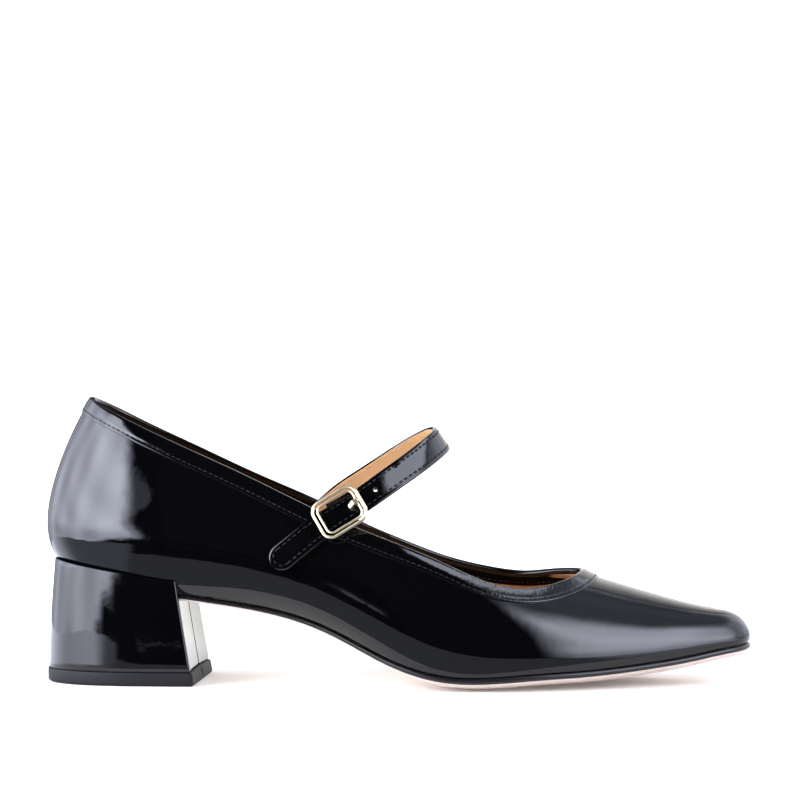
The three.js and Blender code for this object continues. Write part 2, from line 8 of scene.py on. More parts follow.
import bmesh
import bpy
import numpy as np
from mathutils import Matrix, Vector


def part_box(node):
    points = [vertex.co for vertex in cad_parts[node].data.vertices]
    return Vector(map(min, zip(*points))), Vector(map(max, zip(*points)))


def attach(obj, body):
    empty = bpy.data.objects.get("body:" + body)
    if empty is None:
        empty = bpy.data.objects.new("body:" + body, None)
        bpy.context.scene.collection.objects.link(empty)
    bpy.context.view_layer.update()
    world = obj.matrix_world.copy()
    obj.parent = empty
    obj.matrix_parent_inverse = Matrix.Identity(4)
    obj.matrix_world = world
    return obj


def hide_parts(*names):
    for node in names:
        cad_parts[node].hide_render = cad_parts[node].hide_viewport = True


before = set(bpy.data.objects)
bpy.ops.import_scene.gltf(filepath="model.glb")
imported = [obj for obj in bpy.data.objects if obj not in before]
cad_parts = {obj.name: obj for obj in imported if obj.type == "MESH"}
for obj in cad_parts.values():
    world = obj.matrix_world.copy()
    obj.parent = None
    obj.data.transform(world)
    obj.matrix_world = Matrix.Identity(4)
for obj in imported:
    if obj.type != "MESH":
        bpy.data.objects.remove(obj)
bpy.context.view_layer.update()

MM = 0.001

# ---------- sizes ----------
WALL = 1.5  # patent leather, stiffener and lining together
PATENT = 0.8  # the black outer layer of that wall
CLEAR = 0.3  # between neighbouring pieces
THROAT_X = 195.5
CURL = 0.15
INSOLE = 2.8
TOPLIFT = 5.0
TOPLIFT_BACK = 0.1
BINDING_WIDE = 5.3  # topline binding, outside
BINDING_INSIDE = 5.6
BINDING_PROUD = 0.45
BINDING_SEAM = 4.1  # stitch row, from the topline
STITCH_PITCH = 2.1
STRAP_WIDE = 9.5
STRAP_THICK = 2.0
STRAP_PITCH = 2.3
STRAP_SEAM = 1.7  # stitch row, from the strap's edge
BUCKLE_LONG = 18.3
BUCKLE_WIDE = 15.2
BUCKLE_CORNER = 4.2
RING_STEP = 3.3  # the inner ring is so much shorter and narrower than the outer
END_BAR_X = 8.7  # from the buckle's middle, towards the toe
PRONG_ROOT = 7.9
PRONG_LONG = 4.3
PRONG_HALF = 0.95

# The last, from the back of the heel to the tip of the toe: x, then y and z of the bottom
# edge on the outer and the inner side, the spine above, fullness, and swell on each side.
LAST_COLUMNS = ("x", "yOut", "zOut", "yIn", "zIn", "spineX", "spineY", "spineZ",
                "full", "swellOut", "swellIn")
LAST_ROWS = np.array([
    [9.4, 0.0, 38.2, 0.0, 38.2, 45.0, 0.0, 128.0, 2.0, 18.0, 18.0],
    [12.0, -10.5, 37.8, 10.5, 37.8, 46.0, 0.0, 127.5, 2.0, 15.5, 15.5],
    [20.0, -18.5, 36.8, 18.5, 36.9, 50.0, 0.0, 126.0, 2.1, 11.5, 11.5],
    [35.0, -22.0, 34.8, 21.5, 35.2, 59.0, 0.0, 121.5, 2.4, 10.5, 10.5],
    [56.0, -22.0, 32.0, 20.5, 33.2, 73.0, 0.0, 112.0, 2.9, 11.5, 12.0],
    [80.0, -21.5, 28.3, 17.5, 30.8, 91.0, 0.0, 98.5, 3.1, 12.0, 15.0],
    [103.0, -25.5, 21.8, 16.5, 26.0, 109.0, 0.0, 86.0, 3.0, 9.5, 15.5],
    [124.0, -32.5, 12.0, 21.0, 17.0, 127.0, 0.0, 74.0, 2.7, 6.5, 11.5],
    [143.0, -38.5, 6.2, 29.5, 9.0, 144.0, 0.5, 64.0, 2.3, 4.0, 7.0],
    [161.0, -39.5, 5.3, 35.0, 6.0, 161.0, 1.0, 55.0, 2.1, 3.0, 3.8],
    [179.0, -36.5, 6.4, 35.5, 6.4, 179.0, 1.6, 46.0, 2.05, 2.6, 3.0],
    [197.0, -30.3, 7.2, 32.3, 7.2, 197.0, 2.2, 39.2, 2.05, 2.6, 2.6],
    [215.0, -23.2, 8.8, 26.7, 8.8, 215.0, 2.8, 33.7, 2.1, 2.4, 2.4],
    [231.0, -16.8, 10.9, 20.8, 10.9, 229.0, 3.2, 29.8, 2.3, 2.0, 2.0],
    [243.5, -11.0, 13.1, 15.6, 13.1, 237.5, 3.2, 27.6, 2.4, 1.6, 1.6],
    [251.5, -6.0, 14.3, 10.8, 14.3, 240.5, 3.0, 26.8, 2.4, 1.4, 1.4],
    [254.6, 2.6, 14.8, 2.6, 14.8, 241.5, 2.8, 26.6, 2.4, 1.4, 1.4],
])
STATIONS = len(LAST_ROWS) - 1

# Topline height along the shoe, on the outer and the inner side.
TOPLINE_COLUMNS = ("x", "zOut", "zIn")
TOPLINE_ROWS = np.array([
    [14.0, 103.2, 103.2],
    [22.0, 98.9, 98.9],
    [30.0, 95.0, 94.6],
    [52.0, 84.8, 84.1],
    [74.5, 74.6, 73.8],
    [97.0, 63.9, 64.1],
    [117.0, 55.4, 54.3],
    [130.5, 50.3, 48.6],
    [144.5, 44.7, 43.3],
    [158.5, 38.5, 39.9],
    [173.5, 35.1, 38.2],
    [186.5, 36.1, 38.9],
    [193.0, 38.3, 39.3],
    [195.5, 39.7, 39.7],
])

# Sole along the shoe: how far its edge stands out, the edge's thickness, and the belly.
SOLE_COLUMNS = ("x", "proud", "edge", "belly")
SOLE_ROWS = np.array([
    [0, -0.2, 1.5, 0.0],
    [40, -0.2, 1.5, 0.0],
    [58, 0.1, 2.0, 0.3],
    [85, 0.2, 2.4, 0.8],
    [115, 0.5, 2.9, 1.4],
    [140, 0.8, 3.1, 2.3],
    [175, 0.8, 3.1, 2.4],
    [205, 0.8, 3.0, 2.2],
    [235, 0.8, 2.9, 1.6],
    [256, 0.8, 2.8, 0.8],
])

# Rounded sole edge from top to bottom: share of its thickness, inset, and black paint.
SOLE_EDGE = np.array([
    [0.00, 0.90, 1.0],
    [0.03, 0.45, 1.0],
    [0.10, 0.14, 1.0],
    [0.22, 0.00, 1.0],
    [0.36, 0.00, 1.0],
    [0.50, 0.10, 1.0],
    [0.60, 0.32, 1.0],
    [0.66, 0.60, 1.0],
    [0.67, 0.62, 0.0],
    [0.76, 0.78, 0.0],
    [0.88, 1.20, 0.0],
    [1.00, 2.00, 0.0],
])

# Heel from the toplift to its rim: height, back x, breast x and half width.
HEEL_COLUMNS = ("z", "back", "breast", "half")
HEEL_ROWS = np.array([
    [5.0, 0.4, 55.4, 26.4],
    [18.0, 0.9, 53.2, 26.0],
    [30.0, 1.6, 51.2, 25.7],
    [43.0, 2.6, 49.2, 25.5],
])
FOOT_BACK, FOOT_BREAST, FOOT_HALF = HEEL_ROWS[0, 1:]
HEEL_RIM = 44.7
HEEL_RIM_SLOPE = 0.139
HEEL_ROUND = 38.0
HEEL_OVAL = 0.86  # below 1 makes the back of the heel squarer than an ellipse
HEEL_CORNER = 1.0
HEEL_SEAT_X = 50.5  # where the breast meets the sole
HEEL_DISH = 0.5
TOPLIFT_BREAST = 56.8
TOPLIFT_LEAN = 0.9
TOPLIFT_CORNER = 1.3

# Middle line of the strap. Where y is left out (nan) the strap lies on the upper: on the
# quarter outside at the tail, and on the lining inside at the other end.
ON_WALL = math.nan
STRAP_ROUTE = np.array([
    [85.3, ON_WALL, 43.6],
    [93.2, ON_WALL, 49.8],
    [99.7, ON_WALL, 54.8],
    [105.0, ON_WALL, 58.5],
    [112.0, -29.0, 63.4],
    [119.5, -27.0, 68.5],
    [127.2, -23.2, 74.1],
    [134.6, -17.2, 79.5],
    [140.7, -9.0, 84.5],
    [143.4, 0.4, 87.6],
    [141.0, 9.2, 88.0],
    [134.0, 15.8, 84.8],
    [124.5, 18.8, 79.0],
    [113.0, 19.2, 71.5],
    [104.5, 17.8, 65.5],
    [97.0, ON_WALL, 59.6],
    [90.0, ON_WALL, 54.6],
])
STRAP_LEAN = (-0.54, 0.78)
STRAP_FLARE = 0.013


# ---------- smooth tables ----------

def closed_spline(values):
    """Cubic through values at whole numbers, closed on itself, with continuous bending."""
    values = np.asarray(values, float)
    count = len(values)
    eye = np.eye(count)
    system = 4 * eye + np.roll(eye, 1, 0) + np.roll(eye, -1, 0)
    slopes = np.linalg.solve(system, 3 * (np.roll(values, -1) - np.roll(values, 1)))

    def at(u):
        u = np.mod(u, count)
        i = np.floor(u).astype(int) % count
        j = (i + 1) % count
        s = u - np.floor(u)
        rise = (1 + 2 * s) * (1 - s) ** 2 * values[i] + (3 - 2 * s) * s * s * values[j]
        return rise + s * (1 - s) * ((1 - s) * slopes[i] - s * slopes[j])

    return at


def open_spline(x, values):
    """Natural cubic through (x, values); values may have several columns."""
    x = np.asarray(x, float)
    values = np.asarray(values, float)
    count = len(x)
    gap = np.diff(x)
    system = np.eye(count)
    system[0, :2] = 2, 1
    system[-1, -2:] = 1, 2
    pull = np.zeros_like(values)
    rise = np.diff(values, axis=0) / gap.reshape((-1,) + (1,) * (values.ndim - 1))
    pull[0] = 3 * rise[0]
    pull[-1] = 3 * rise[-1]
    for i in range(1, count - 1):
        system[i, i - 1:i + 2] = 1 / gap[i - 1], 2 / gap[i - 1] + 2 / gap[i], 1 / gap[i]
        pull[i] = 3 * (rise[i - 1] / gap[i - 1] + rise[i] / gap[i])
    slopes = np.linalg.solve(system, pull)

    def at(where):
        where = np.asarray(where, float)
        i = np.clip(np.searchsorted(x, where) - 1, 0, count - 2)
        shape = where.shape + (1,) * (values.ndim - 1)
        g = gap[i].reshape(shape)
        s = ((where - x[i]) / gap[i]).reshape(shape)
        smooth = (1 + 2 * s) * (1 - s) ** 2 * values[i] + (3 - 2 * s) * s * s * values[i + 1]
        return smooth + g * s * (1 - s) * ((1 - s) * slopes[i] - s * slopes[i + 1])

    return at


def column_splines(columns, rows):
    """Each column of a table as a smooth function of its first column."""
    return {name: open_spline(rows[:, 0], rows[:, k]) for k, name in enumerate(columns)}


def round_the_last(outer, inner=None):
    """Closed function of u from the outer and the inner column of the last table."""
    out = LAST_ROWS[:, LAST_COLUMNS.index(outer)]
    back = LAST_ROWS[:, LAST_COLUMNS.index(inner or outer)]
    return closed_spline(np.concatenate([out, back[-2:0:-1]]))


last_x = round_the_last("x")
last_y = round_the_last("yOut", "yIn")
last_z = round_the_last("zOut", "zIn")
spine_x = round_the_last("spineX")
spine_y = round_the_last("spineY")
spine_z = round_the_last("spineZ")
last_full = round_the_last("full")
last_swell = round_the_last("swellOut", "swellIn")
topline = column_splines(TOPLINE_COLUMNS, TOPLINE_ROWS)
sole = column_splines(SOLE_COLUMNS, SOLE_ROWS)
heel = column_splines(HEEL_COLUMNS, HEEL_ROWS)


# ---------- vectors ----------

def unit(v):
    """Vectors of length one."""
    return v / np.maximum(np.linalg.norm(v, axis=-1, keepdims=True), 1e-9)


def vec(x, y, z):
    """Points from three coordinates that broadcast against each other."""
    return np.stack(np.broadcast_arrays(*(np.asarray(c, float) for c in (x, y, z))), -1)


def smoothstep(low, high, x):
    """0 below low, 1 above high, and a smooth cubic between; low may be above high."""
    s = np.clip((x - low) / (high - low), 0, 1)
    return s * s * (3 - 2 * s)


# ---------- the last surface ----------

def place(u, t):
    """Superellipse arch from the bottom edge (t 0) to the spine (t 1), swollen near the edge."""
    u, t = np.broadcast_arrays(np.asarray(u, float), np.asarray(t, float))
    power = 2 / last_full(u)
    angle = np.pi / 2 * np.clip(t, 0, 1) ** (1 / power)
    reach = np.where(t >= 1, 0, np.maximum(np.cos(angle), 0) ** power)
    climb = np.sin(angle) ** power
    dx = last_x(u) - spine_x(u)
    dy = last_y(u) - spine_y(u)
    swell = last_swell(u) * (1 - climb) * (1 - np.exp(-climb / CURL))
    scale = reach + swell / np.hypot(dx, dy)
    z = last_z(u) + (spine_z(u) - last_z(u)) * climb
    return vec(spine_x(u) + dx * scale, spine_y(u) + dy * scale, z)


def normal_at(u, t):
    """Outward normal of the last; on the spine it is square to the spine line."""
    u, t = np.broadcast_arrays(np.asarray(u, float), np.asarray(t, float))
    step = 0.01
    mid = np.clip(t, 0.02, 0.98)
    along = place(u + step, mid) - place(u - step, mid)
    up = place(u, mid + step) - place(u, mid - step)
    body = unit(np.cross(along, up))
    ridge = place(u + step, 1.0) - place(u - step, 1.0)
    side = vec(ridge[..., 1], -ridge[..., 0], 0)
    top = unit(np.cross(side, ridge))
    top = top * np.where(top[..., 2:] < 0, -1, 1)
    return np.where((t > 0.985)[..., None], top, body)


def offset(u, t, distance):
    """The last's surface moved along its outward normal."""
    return place(u, t) + normal_at(u, t) * np.asarray(distance)[..., None]


def bisect(low, high, under):
    """Halves the span from low to high until under(middle) turns false within it."""
    for _ in range(40):
        middle = (low + high) / 2
        below = under(middle)
        low = np.where(below, middle, low)
        high = np.where(below, high, middle)
    return (low + high) / 2


def climb_to(u, wanted):
    """t at which the line u of the last meets the height wanted(x)."""
    def under(t):
        point = place(u, t)
        return point[..., 2] < wanted(point[..., 0])

    return bisect(np.zeros_like(u, dtype=float), np.ones_like(u, dtype=float), under)


def rise_to(u, rise):
    """t at which the line u of the last has risen so far above its bottom edge."""
    goal = last_z(u) + rise
    return bisect(0 * goal, 0 * goal + 1, lambda t: place(u, t)[..., 2] < goal)


THROAT_U = float(bisect(8.0, STATIONS - 1.0, lambda u: spine_x(u) < THROAT_X))


def topline_height(u):
    """The topline's height function for u on the outer or the inner side."""
    outer = np.mod(u, 2 * STATIONS) <= STATIONS
    return lambda x: np.where(outer, topline["zOut"](x), topline["zIn"](x))


def top_of_columns(share, throat_share):
    """u at the top of each column: crowded towards the throat, then spread along the spine."""
    crowd = 0.14
    away = np.clip(1 - share / throat_share, 0, 1)
    opening = THROAT_U * (1 - away * away * (1 + crowd) / (away + crowd))
    vamp = THROAT_U + (STATIONS - THROAT_U) * (share - throat_share) / (1 - throat_share)
    return np.where(share < throat_share, opening, vamp)


# ---------- meshes ----------

shoe_low, shoe_high = (np.array(corner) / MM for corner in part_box("toplift"))
TO_FRAME = np.array([shoe_low[0] - TOPLIFT_BACK, (shoe_low[1] + shoe_high[1]) / 2, 0.0])


def sheet(rows, cols, wrap_rows=False, wrap_cols=False, start=0, flip=False):
    """Quads between the points of a grid stored row by row."""
    r, c = np.meshgrid(np.arange(rows - (not wrap_rows)), np.arange(cols - (not wrap_cols)),
                       indexing="ij")
    r2 = (r + 1) % rows
    c2 = (c + 1) % cols
    quads = np.stack([r * cols + c, r * cols + c2, r2 * cols + c2, r2 * cols + c], -1)
    quads = quads.reshape(-1, 4) + start
    return quads[:, ::-1] if flip else quads


def new_mesh(name, points, faces):
    """A mesh from points in millimetres in the frame and faces of point numbers."""
    mesh = bpy.data.meshes.new(name)
    points = np.asarray(points, float).reshape(-1, 3) * MM
    mesh.from_pydata(points.tolist(), [], [list(map(int, face)) for face in faces])
    return mesh


def paint(mesh, key, numbers):
    """One number for each point of a mesh, kept under a name that its material reads."""
    layer = mesh.attributes.new(key, "FLOAT", "POINT")
    layer.data.foreach_set("value", np.asarray(numbers, np.float32).ravel())


def make_piece(name, points, faces, material, smooth=40, values=None):
    """Puts points (mm, last coordinates) and faces into a mesh, closes seams and poles."""
    mesh = new_mesh(name, np.asarray(points, float).reshape(-1, 3) + TO_FRAME, faces)
    for key, numbers in (values or {}).items():
        paint(mesh, key, numbers)
    build = bmesh.new()
    build.from_mesh(mesh)
    bmesh.ops.remove_doubles(build, verts=build.verts, dist=2e-6)
    bmesh.ops.dissolve_degenerate(build, edges=build.edges, dist=1e-7)
    bmesh.ops.recalc_face_normals(build, faces=build.faces)
    build.to_mesh(mesh)
    build.free()
    mesh.shade_smooth()
    if smooth < 180:
        mesh.set_sharp_from_angle(angle=math.radians(smooth))
    piece = bpy.data.objects.new(name, mesh)
    bpy.context.collection.objects.link(piece)
    mesh.materials.append(material)
    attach(piece, "root")
    return piece


def tube(rings):
    """Faces of a closed body from rings of points, its ends closed by one face each."""
    count, size = rings.shape[:2]
    quads = sheet(count, size, wrap_cols=True)
    ends = [list(range(size))[::-1], [(count - 1) * size + i for i in range(size)]]
    return [list(q) for q in quads] + ends


# ---------- materials ----------

def linear(hex_colour):
    """sRGB hex to a linear RGBA colour."""
    parts = [int(hex_colour[i:i + 2], 16) / 255 for i in (0, 2, 4)]
    return tuple(c / 12.92 if c <= 0.04045 else ((c + 0.055) / 1.055) ** 2.4 for c in parts) + (1,)


def add_node(tree, kind, inputs=None, **settings):
    """One node: settings are its own properties, inputs are socket values or feeding sockets."""
    made = tree.nodes.new("ShaderNode" + kind)
    for key, value in settings.items():
        setattr(made, key, value)
    for key, value in (inputs or {}).items():
        if isinstance(value, bpy.types.NodeSocket):
            tree.links.new(value, made.inputs[key])
        else:
            made.inputs[key].default_value = value
    return made


def new_material(name, **shader):
    """A material with one Principled shader and its constants set on the shader's sockets."""
    made = bpy.data.materials.new(name)
    made.use_nodes = True
    tree = made.node_tree
    tree.nodes.clear()
    surface = add_node(tree, "BsdfPrincipled", shader)
    output = add_node(tree, "OutputMaterial")
    tree.links.new(surface.outputs[0], output.inputs["Surface"])
    where = add_node(tree, "TexCoord").outputs["Object"]
    return made, tree, surface, where


def noise(tree, where, size_mm, detail=2.0, rough=0.5):
    """Noise whose lumps are about size_mm across, on object coordinates in metres."""
    return add_node(tree, "TexNoise", {
        "Vector": where, "Scale": 1 / (size_mm * MM), "Detail": detail, "Roughness": rough,
    }).outputs["Fac"]


def patent_material(name, wave_mm, wave_depth_mm, grain_depth_mm, gather_mm=0.0):
    # Patent leather: black finished hide under a poured, cured clear lacquer. The lacquer
    # mirrors the studio sharply, and the hide below pulls it into slow, slight waves.
    made, tree, surface, where = new_material(name, **{
        "Base Color": linear("040405"), "Roughness": 0.5, "Specular IOR Level": 0.0,
        "Coat Weight": 1.0, "Coat Roughness": 0.025, "Coat IOR": 1.5,
    })
    waves = noise(tree, where, wave_mm, 1.5, 0.45)
    grain = noise(tree, where, 2.4, 2.0, 0.5)
    slow = add_node(tree, "Bump", {"Height": waves, "Distance": wave_depth_mm * MM})
    fine = add_node(tree, "Bump", {
        "Height": grain, "Distance": grain_depth_mm * MM, "Normal": slow.outputs["Normal"],
    })
    last = fine
    if gather_mm:
        # Where the folded strip turns round the throat it gathers in small cross wrinkles.
        split = add_node(tree, "SeparateXYZ", {"Vector": where})
        mask = add_node(tree, "MapRange", {
            "Value": split.outputs["X"], "From Min": 15 * MM, "From Max": 32 * MM,
        }, interpolation_type="SMOOTHSTEP")
        squeeze = add_node(tree, "Mapping", {"Vector": where, "Scale": (1.6, 0.8, 0.8)})
        folds = noise(tree, squeeze.outputs["Vector"], 1.5, 2.5, 0.6)
        last = add_node(tree, "Bump", {
            "Height": folds, "Distance": gather_mm * MM, "Strength": mask.outputs["Result"],
            "Normal": fine.outputs["Normal"],
        })
    for socket in ("Normal", "Coat Normal"):
        tree.links.new(last.outputs["Normal"], surface.inputs[socket])
    return made


def lining_material(name, colour, pore_colour, rough):
    # Tan lining leather: vegetable-tanned hide, plated smooth but unlacquered, so it is matt
    # with small pores and cloudy colour where the dye took unevenly.
    made, tree, surface, where = new_material(name, **{
        "Roughness": rough, "Specular IOR Level": 0.35, "Sheen Weight": 0.15,
        "Sheen Roughness": 0.5,
    })
    cloud = noise(tree, where, 14, 3.0, 0.6)
    pores = add_node(tree, "TexVoronoi", {"Vector": where, "Scale": 1 / (0.75 * MM)})
    tint = add_node(tree, "Mix", {
        "Factor": cloud, "A": linear(pore_colour), "B": linear(colour),
    }, data_type="RGBA")
    tree.links.new(tint.outputs["Result"], surface.inputs["Base Color"])
    bump = add_node(tree, "Bump", {
        "Height": pores.outputs["Distance"], "Distance": 0.06 * MM, "Strength": 0.6,
    })
    tree.links.new(bump.outputs["Normal"], surface.inputs["Normal"])
    return made


def facing_material():
    # Black facing leather inside the topline: pigmented and lightly waxed, a satin finish.
    made, tree, surface, where = new_material("satin_facing", **{
        "Base Color": linear("030304"), "Roughness": 0.34, "Specular IOR Level": 0.07,
    })
    pores = noise(tree, where, 0.7, 3.0, 0.6)
    bump = add_node(tree, "Bump", {"Height": pores, "Distance": 0.02 * MM})
    tree.links.new(bump.outputs["Normal"], surface.inputs["Normal"])
    return made


def needle_material():
    # Where the needle went through, the lacquer is broken and drinks the light: matt black.
    made, _, _, _ = new_material("needle_marks", **{
        "Base Color": linear("020202"), "Roughness": 0.85, "Specular IOR Level": 0.08,
    })
    return made


def thread_material(name, colour):
    # Bonded nylon sewing thread: three twisted plies, waxed, so it glints along the lay.
    made, tree, surface, where = new_material(name, **{
        "Base Color": linear(colour), "Roughness": 0.38, "Specular IOR Level": 0.5,
    })
    twist = add_node(tree, "TexWave", {
        "Vector": where, "Scale": 1 / (0.9 * MM), "Distortion": 1.0,
    }, bands_direction="DIAGONAL")
    bump = add_node(tree, "Bump", {"Height": twist.outputs["Fac"], "Distance": 0.05 * MM})
    tree.links.new(bump.outputs["Normal"], surface.inputs["Normal"])
    return made


def sole_material():
    # Resin sole sheet: buffed nude beige, its outer bead brushed with black edge paint.
    made, tree, surface, where = new_material("sole_resin", **{"Specular IOR Level": 0.5})
    paint = add_node(tree, "Attribute", attribute_name="paint").outputs["Fac"]
    cloud = noise(tree, where, 5, 3.0, 0.6)
    sheet_colour = add_node(tree, "Mix", {
        "Factor": cloud, "A": linear("CDBDB5"), "B": linear("E2D4CC"),
    }, data_type="RGBA").outputs["Result"]
    colour = add_node(tree, "Mix", {
        "Factor": paint, "A": sheet_colour, "B": linear("0B0B0D"),
    }, data_type="RGBA").outputs["Result"]
    rough = add_node(tree, "MapRange", {
        "Value": paint, "To Min": 0.55, "To Max": 0.3,
    }).outputs["Result"]
    tree.links.new(colour, surface.inputs["Base Color"])
    tree.links.new(rough, surface.inputs["Roughness"])
    scuff = noise(tree, where, 1.2, 4.0, 0.6)
    bump = add_node(tree, "Bump", {"Height": scuff, "Distance": 0.03 * MM})
    tree.links.new(bump.outputs["Normal"], surface.inputs["Normal"])
    return made


def rubber_material():
    # Moulded polyurethane toplift: charcoal black with a spark-eroded mould's fine matt skin.
    made, tree, surface, where = new_material("heel_rubber", **{
        "Base Color": linear("141416"), "Roughness": 0.6, "Specular IOR Level": 0.22,
    })
    skin = noise(tree, where, 0.5, 3.0, 0.6)
    bump = add_node(tree, "Bump", {"Height": skin, "Distance": 0.03 * MM})
    tree.links.new(bump.outputs["Normal"], surface.inputs["Normal"])
    return made


def gilt_material():
    # Cast zinc, polished and plated pale gold: near mirror, softened by fine polishing lines.
    made, tree, surface, where = new_material("gilt_metal", **{
        "Base Color": linear("F7E8C4"), "Metallic": 1.0, "Roughness": 0.3,
    })
    lines = noise(tree, where, 0.35, 3.0, 0.6)
    bump = add_node(tree, "Bump", {"Height": lines, "Distance": 0.0015 * MM})
    tree.links.new(bump.outputs["Normal"], surface.inputs["Normal"])
    return made


patent = patent_material("patent_leather", 11, 0.1, 0.012)
heel_patent = patent_material("patent_heel_cover", 9, 0.03, 0.006)
binding_patent = patent_material("patent_binding", 3.5, 0.07, 0.01, 0.09)
strap_patent = patent_material("patent_strap", 4.5, 0.08, 0.01)
lining = lining_material("tan_lining", "D9AA78", "C08F5C", 0.55)
sock = lining_material("tan_sock", "D8A974", "BD8A58", 0.5)
facing_leather = facing_material()
needle_black = needle_material()
black_thread = thread_material("black_thread", "08080A")
tan_thread = thread_material("tan_thread", "C79E6E")
sole_resin = sole_material()
heel_rubber = rubber_material()
gilt = gilt_material()


# ---------- upper ----------

COLUMNS = 150  # each side
THROAT_SHARE = 0.75
ROWS = 56


def column_grid():
    """u and t over columns round the last and rows from the bottom edge to the top."""
    own = np.arange(2 * COLUMNS)
    inner = own > COLUMNS
    share = np.where(inner, 2 * COLUMNS - own, own) / COLUMNS
    bottom = STATIONS * share
    top = top_of_columns(share, THROAT_SHARE)
    top_u = np.where(inner, 2 * STATIONS - top, top)
    end = np.where(share < THROAT_SHARE, climb_to(top_u, topline_height(top_u)), 1.0)
    v = np.linspace(0, 1, ROWS + 1)[None, :] ** 1.15
    slide = v * v * (3 - 2 * v)
    u = bottom[:, None] * (1 - slide) + top[:, None] * slide
    u = np.where(inner[:, None], 2 * STATIONS - u, u)
    return u, end[:, None] * v, share < THROAT_SHARE


def wall_piece(name, outside, inside, material):
    """One layer of the upper's wall: two skins joined at the topline and the bottom edge."""
    u, t, is_open = column_grid()
    skins = np.stack([offset(u, t, outside), offset(u, t, inside)])
    cols, rows = u.shape
    faces = [sheet(cols, rows, wrap_rows=True), sheet(cols, rows, wrap_rows=True,
                                                      start=cols * rows, flip=True)]
    j = np.arange(cols)
    k = (j + 1) % cols
    low = np.stack([j * rows, k * rows, cols * rows + k * rows, cols * rows + j * rows], -1)
    faces.append(low)
    rim = low[is_open | is_open[k]] + rows - 1
    faces.append(rim)
    return make_piece(name, skins, np.concatenate(faces), material, smooth=50)


upper = wall_piece("upper_patent", 0.0, -PATENT, patent)
wall_piece("upper_lining", -PATENT - 0.02, -WALL, lining)
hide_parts("upper")


# ---------- topline binding ----------

def topline_columns(count):
    """u and t along the topline, once round from the back, evenly spaced by length."""
    share = np.linspace(0, THROAT_SHARE, 500)
    top = top_of_columns(share, THROAT_SHARE)
    sides = []
    for u in (top, 2 * STATIONS - top[-2:0:-1]):
        t = climb_to(u, topline_height(u))
        t = np.where(np.abs(u - THROAT_U) < 1e-6, 1.0, t)
        sides.append((u, t))
    u = np.concatenate([side[0] for side in sides])
    t = np.concatenate([side[1] for side in sides])
    points = place(u, t)
    gaps = np.linalg.norm(np.roll(points, -1, 0) - points, axis=1)
    length = np.concatenate([[0], np.cumsum(gaps)])
    even = np.arange(count) / count * length[-1]
    u_loop = np.append(u, 2 * STATIONS)
    t_loop = np.append(t, t[0])
    return np.interp(even, length, u_loop), np.interp(even, length, t_loop)


def march(u, t, distances):
    """Walks square to the topline over the last: steps in space, set back on the surface."""
    point = place(u, t)
    tangent = unit(np.roll(point, -1, 0) - np.roll(point, 1, 0))
    heading = unit(np.cross(normal_at(u, t), tangent))
    heading = heading * np.where(heading[:, 2:] > 0.5, -1, 1)
    toward = np.array([THROAT_X + 30, 0, 0]) - point
    ahead = (toward * heading).sum(1, keepdims=True)
    near_throat = (point[:, :1] > 186)
    heading = np.where(near_throat & (ahead < 0), -heading, heading)
    track = [(u, t)]
    walked = 0.0
    for distance in distances:
        goal = point + heading * (distance - walked)
        walked = distance
        for _ in range(3):
            here = place(u, t)
            du = (place(u + 0.004, t) - place(u - 0.004, t)) / 0.008
            lower = np.maximum(t - 0.004, 0)
            dt = (place(u, np.minimum(t, 1)) - place(u, lower)) / 0.004
            miss = goal - here
            a, b, c = (du * du).sum(1), (du * dt).sum(1), (dt * dt).sum(1)
            p, q = (du * miss).sum(1), (dt * miss).sum(1)
            det = np.maximum(a * c - b * b, 1e-9)
            u = u + (c * p - b * q) / det
            t = np.clip(t + (a * q - b * p) / det, 0.01, 1.0)
        point = place(u, t)
        normal = normal_at(u, t)
        heading = unit(heading - normal * (heading * normal).sum(1, keepdims=True))
        track.append((u, t))
    return track


RIM_COUNT = 640
rim_u, rim_t = topline_columns(RIM_COUNT)
rim_point = place(rim_u, rim_t)
rim_normal = normal_at(rim_u, rim_t)
WALK = np.linspace(0.35, 6.0, 18)
rim_track = march(rim_u, rim_t, WALK)
rim_down = unit(place(*rim_track[1]) - rim_point)


def rim_lift(distance):
    """The folded edge stands up a little round the throat, fading down the binding."""
    near = smoothstep(172, 192, rim_point[:, 0])
    fade = np.clip(1 - distance / 6.0, 0, 1) ** 1.5
    return vec(0, 0, 1.0 * near * fade)


def on_band(distance, height):
    """Points a distance down from the topline and a height off the last, all round."""
    steps = np.concatenate([[0], WALK])
    k = int(np.clip(np.searchsorted(steps, distance) - 1, 0, len(steps) - 2))
    s = (distance - steps[k]) / (steps[k + 1] - steps[k])
    near = offset(*rim_track[k], height)
    far = offset(*rim_track[k + 1], height)
    return near * (1 - s) + far * s + rim_lift(distance)


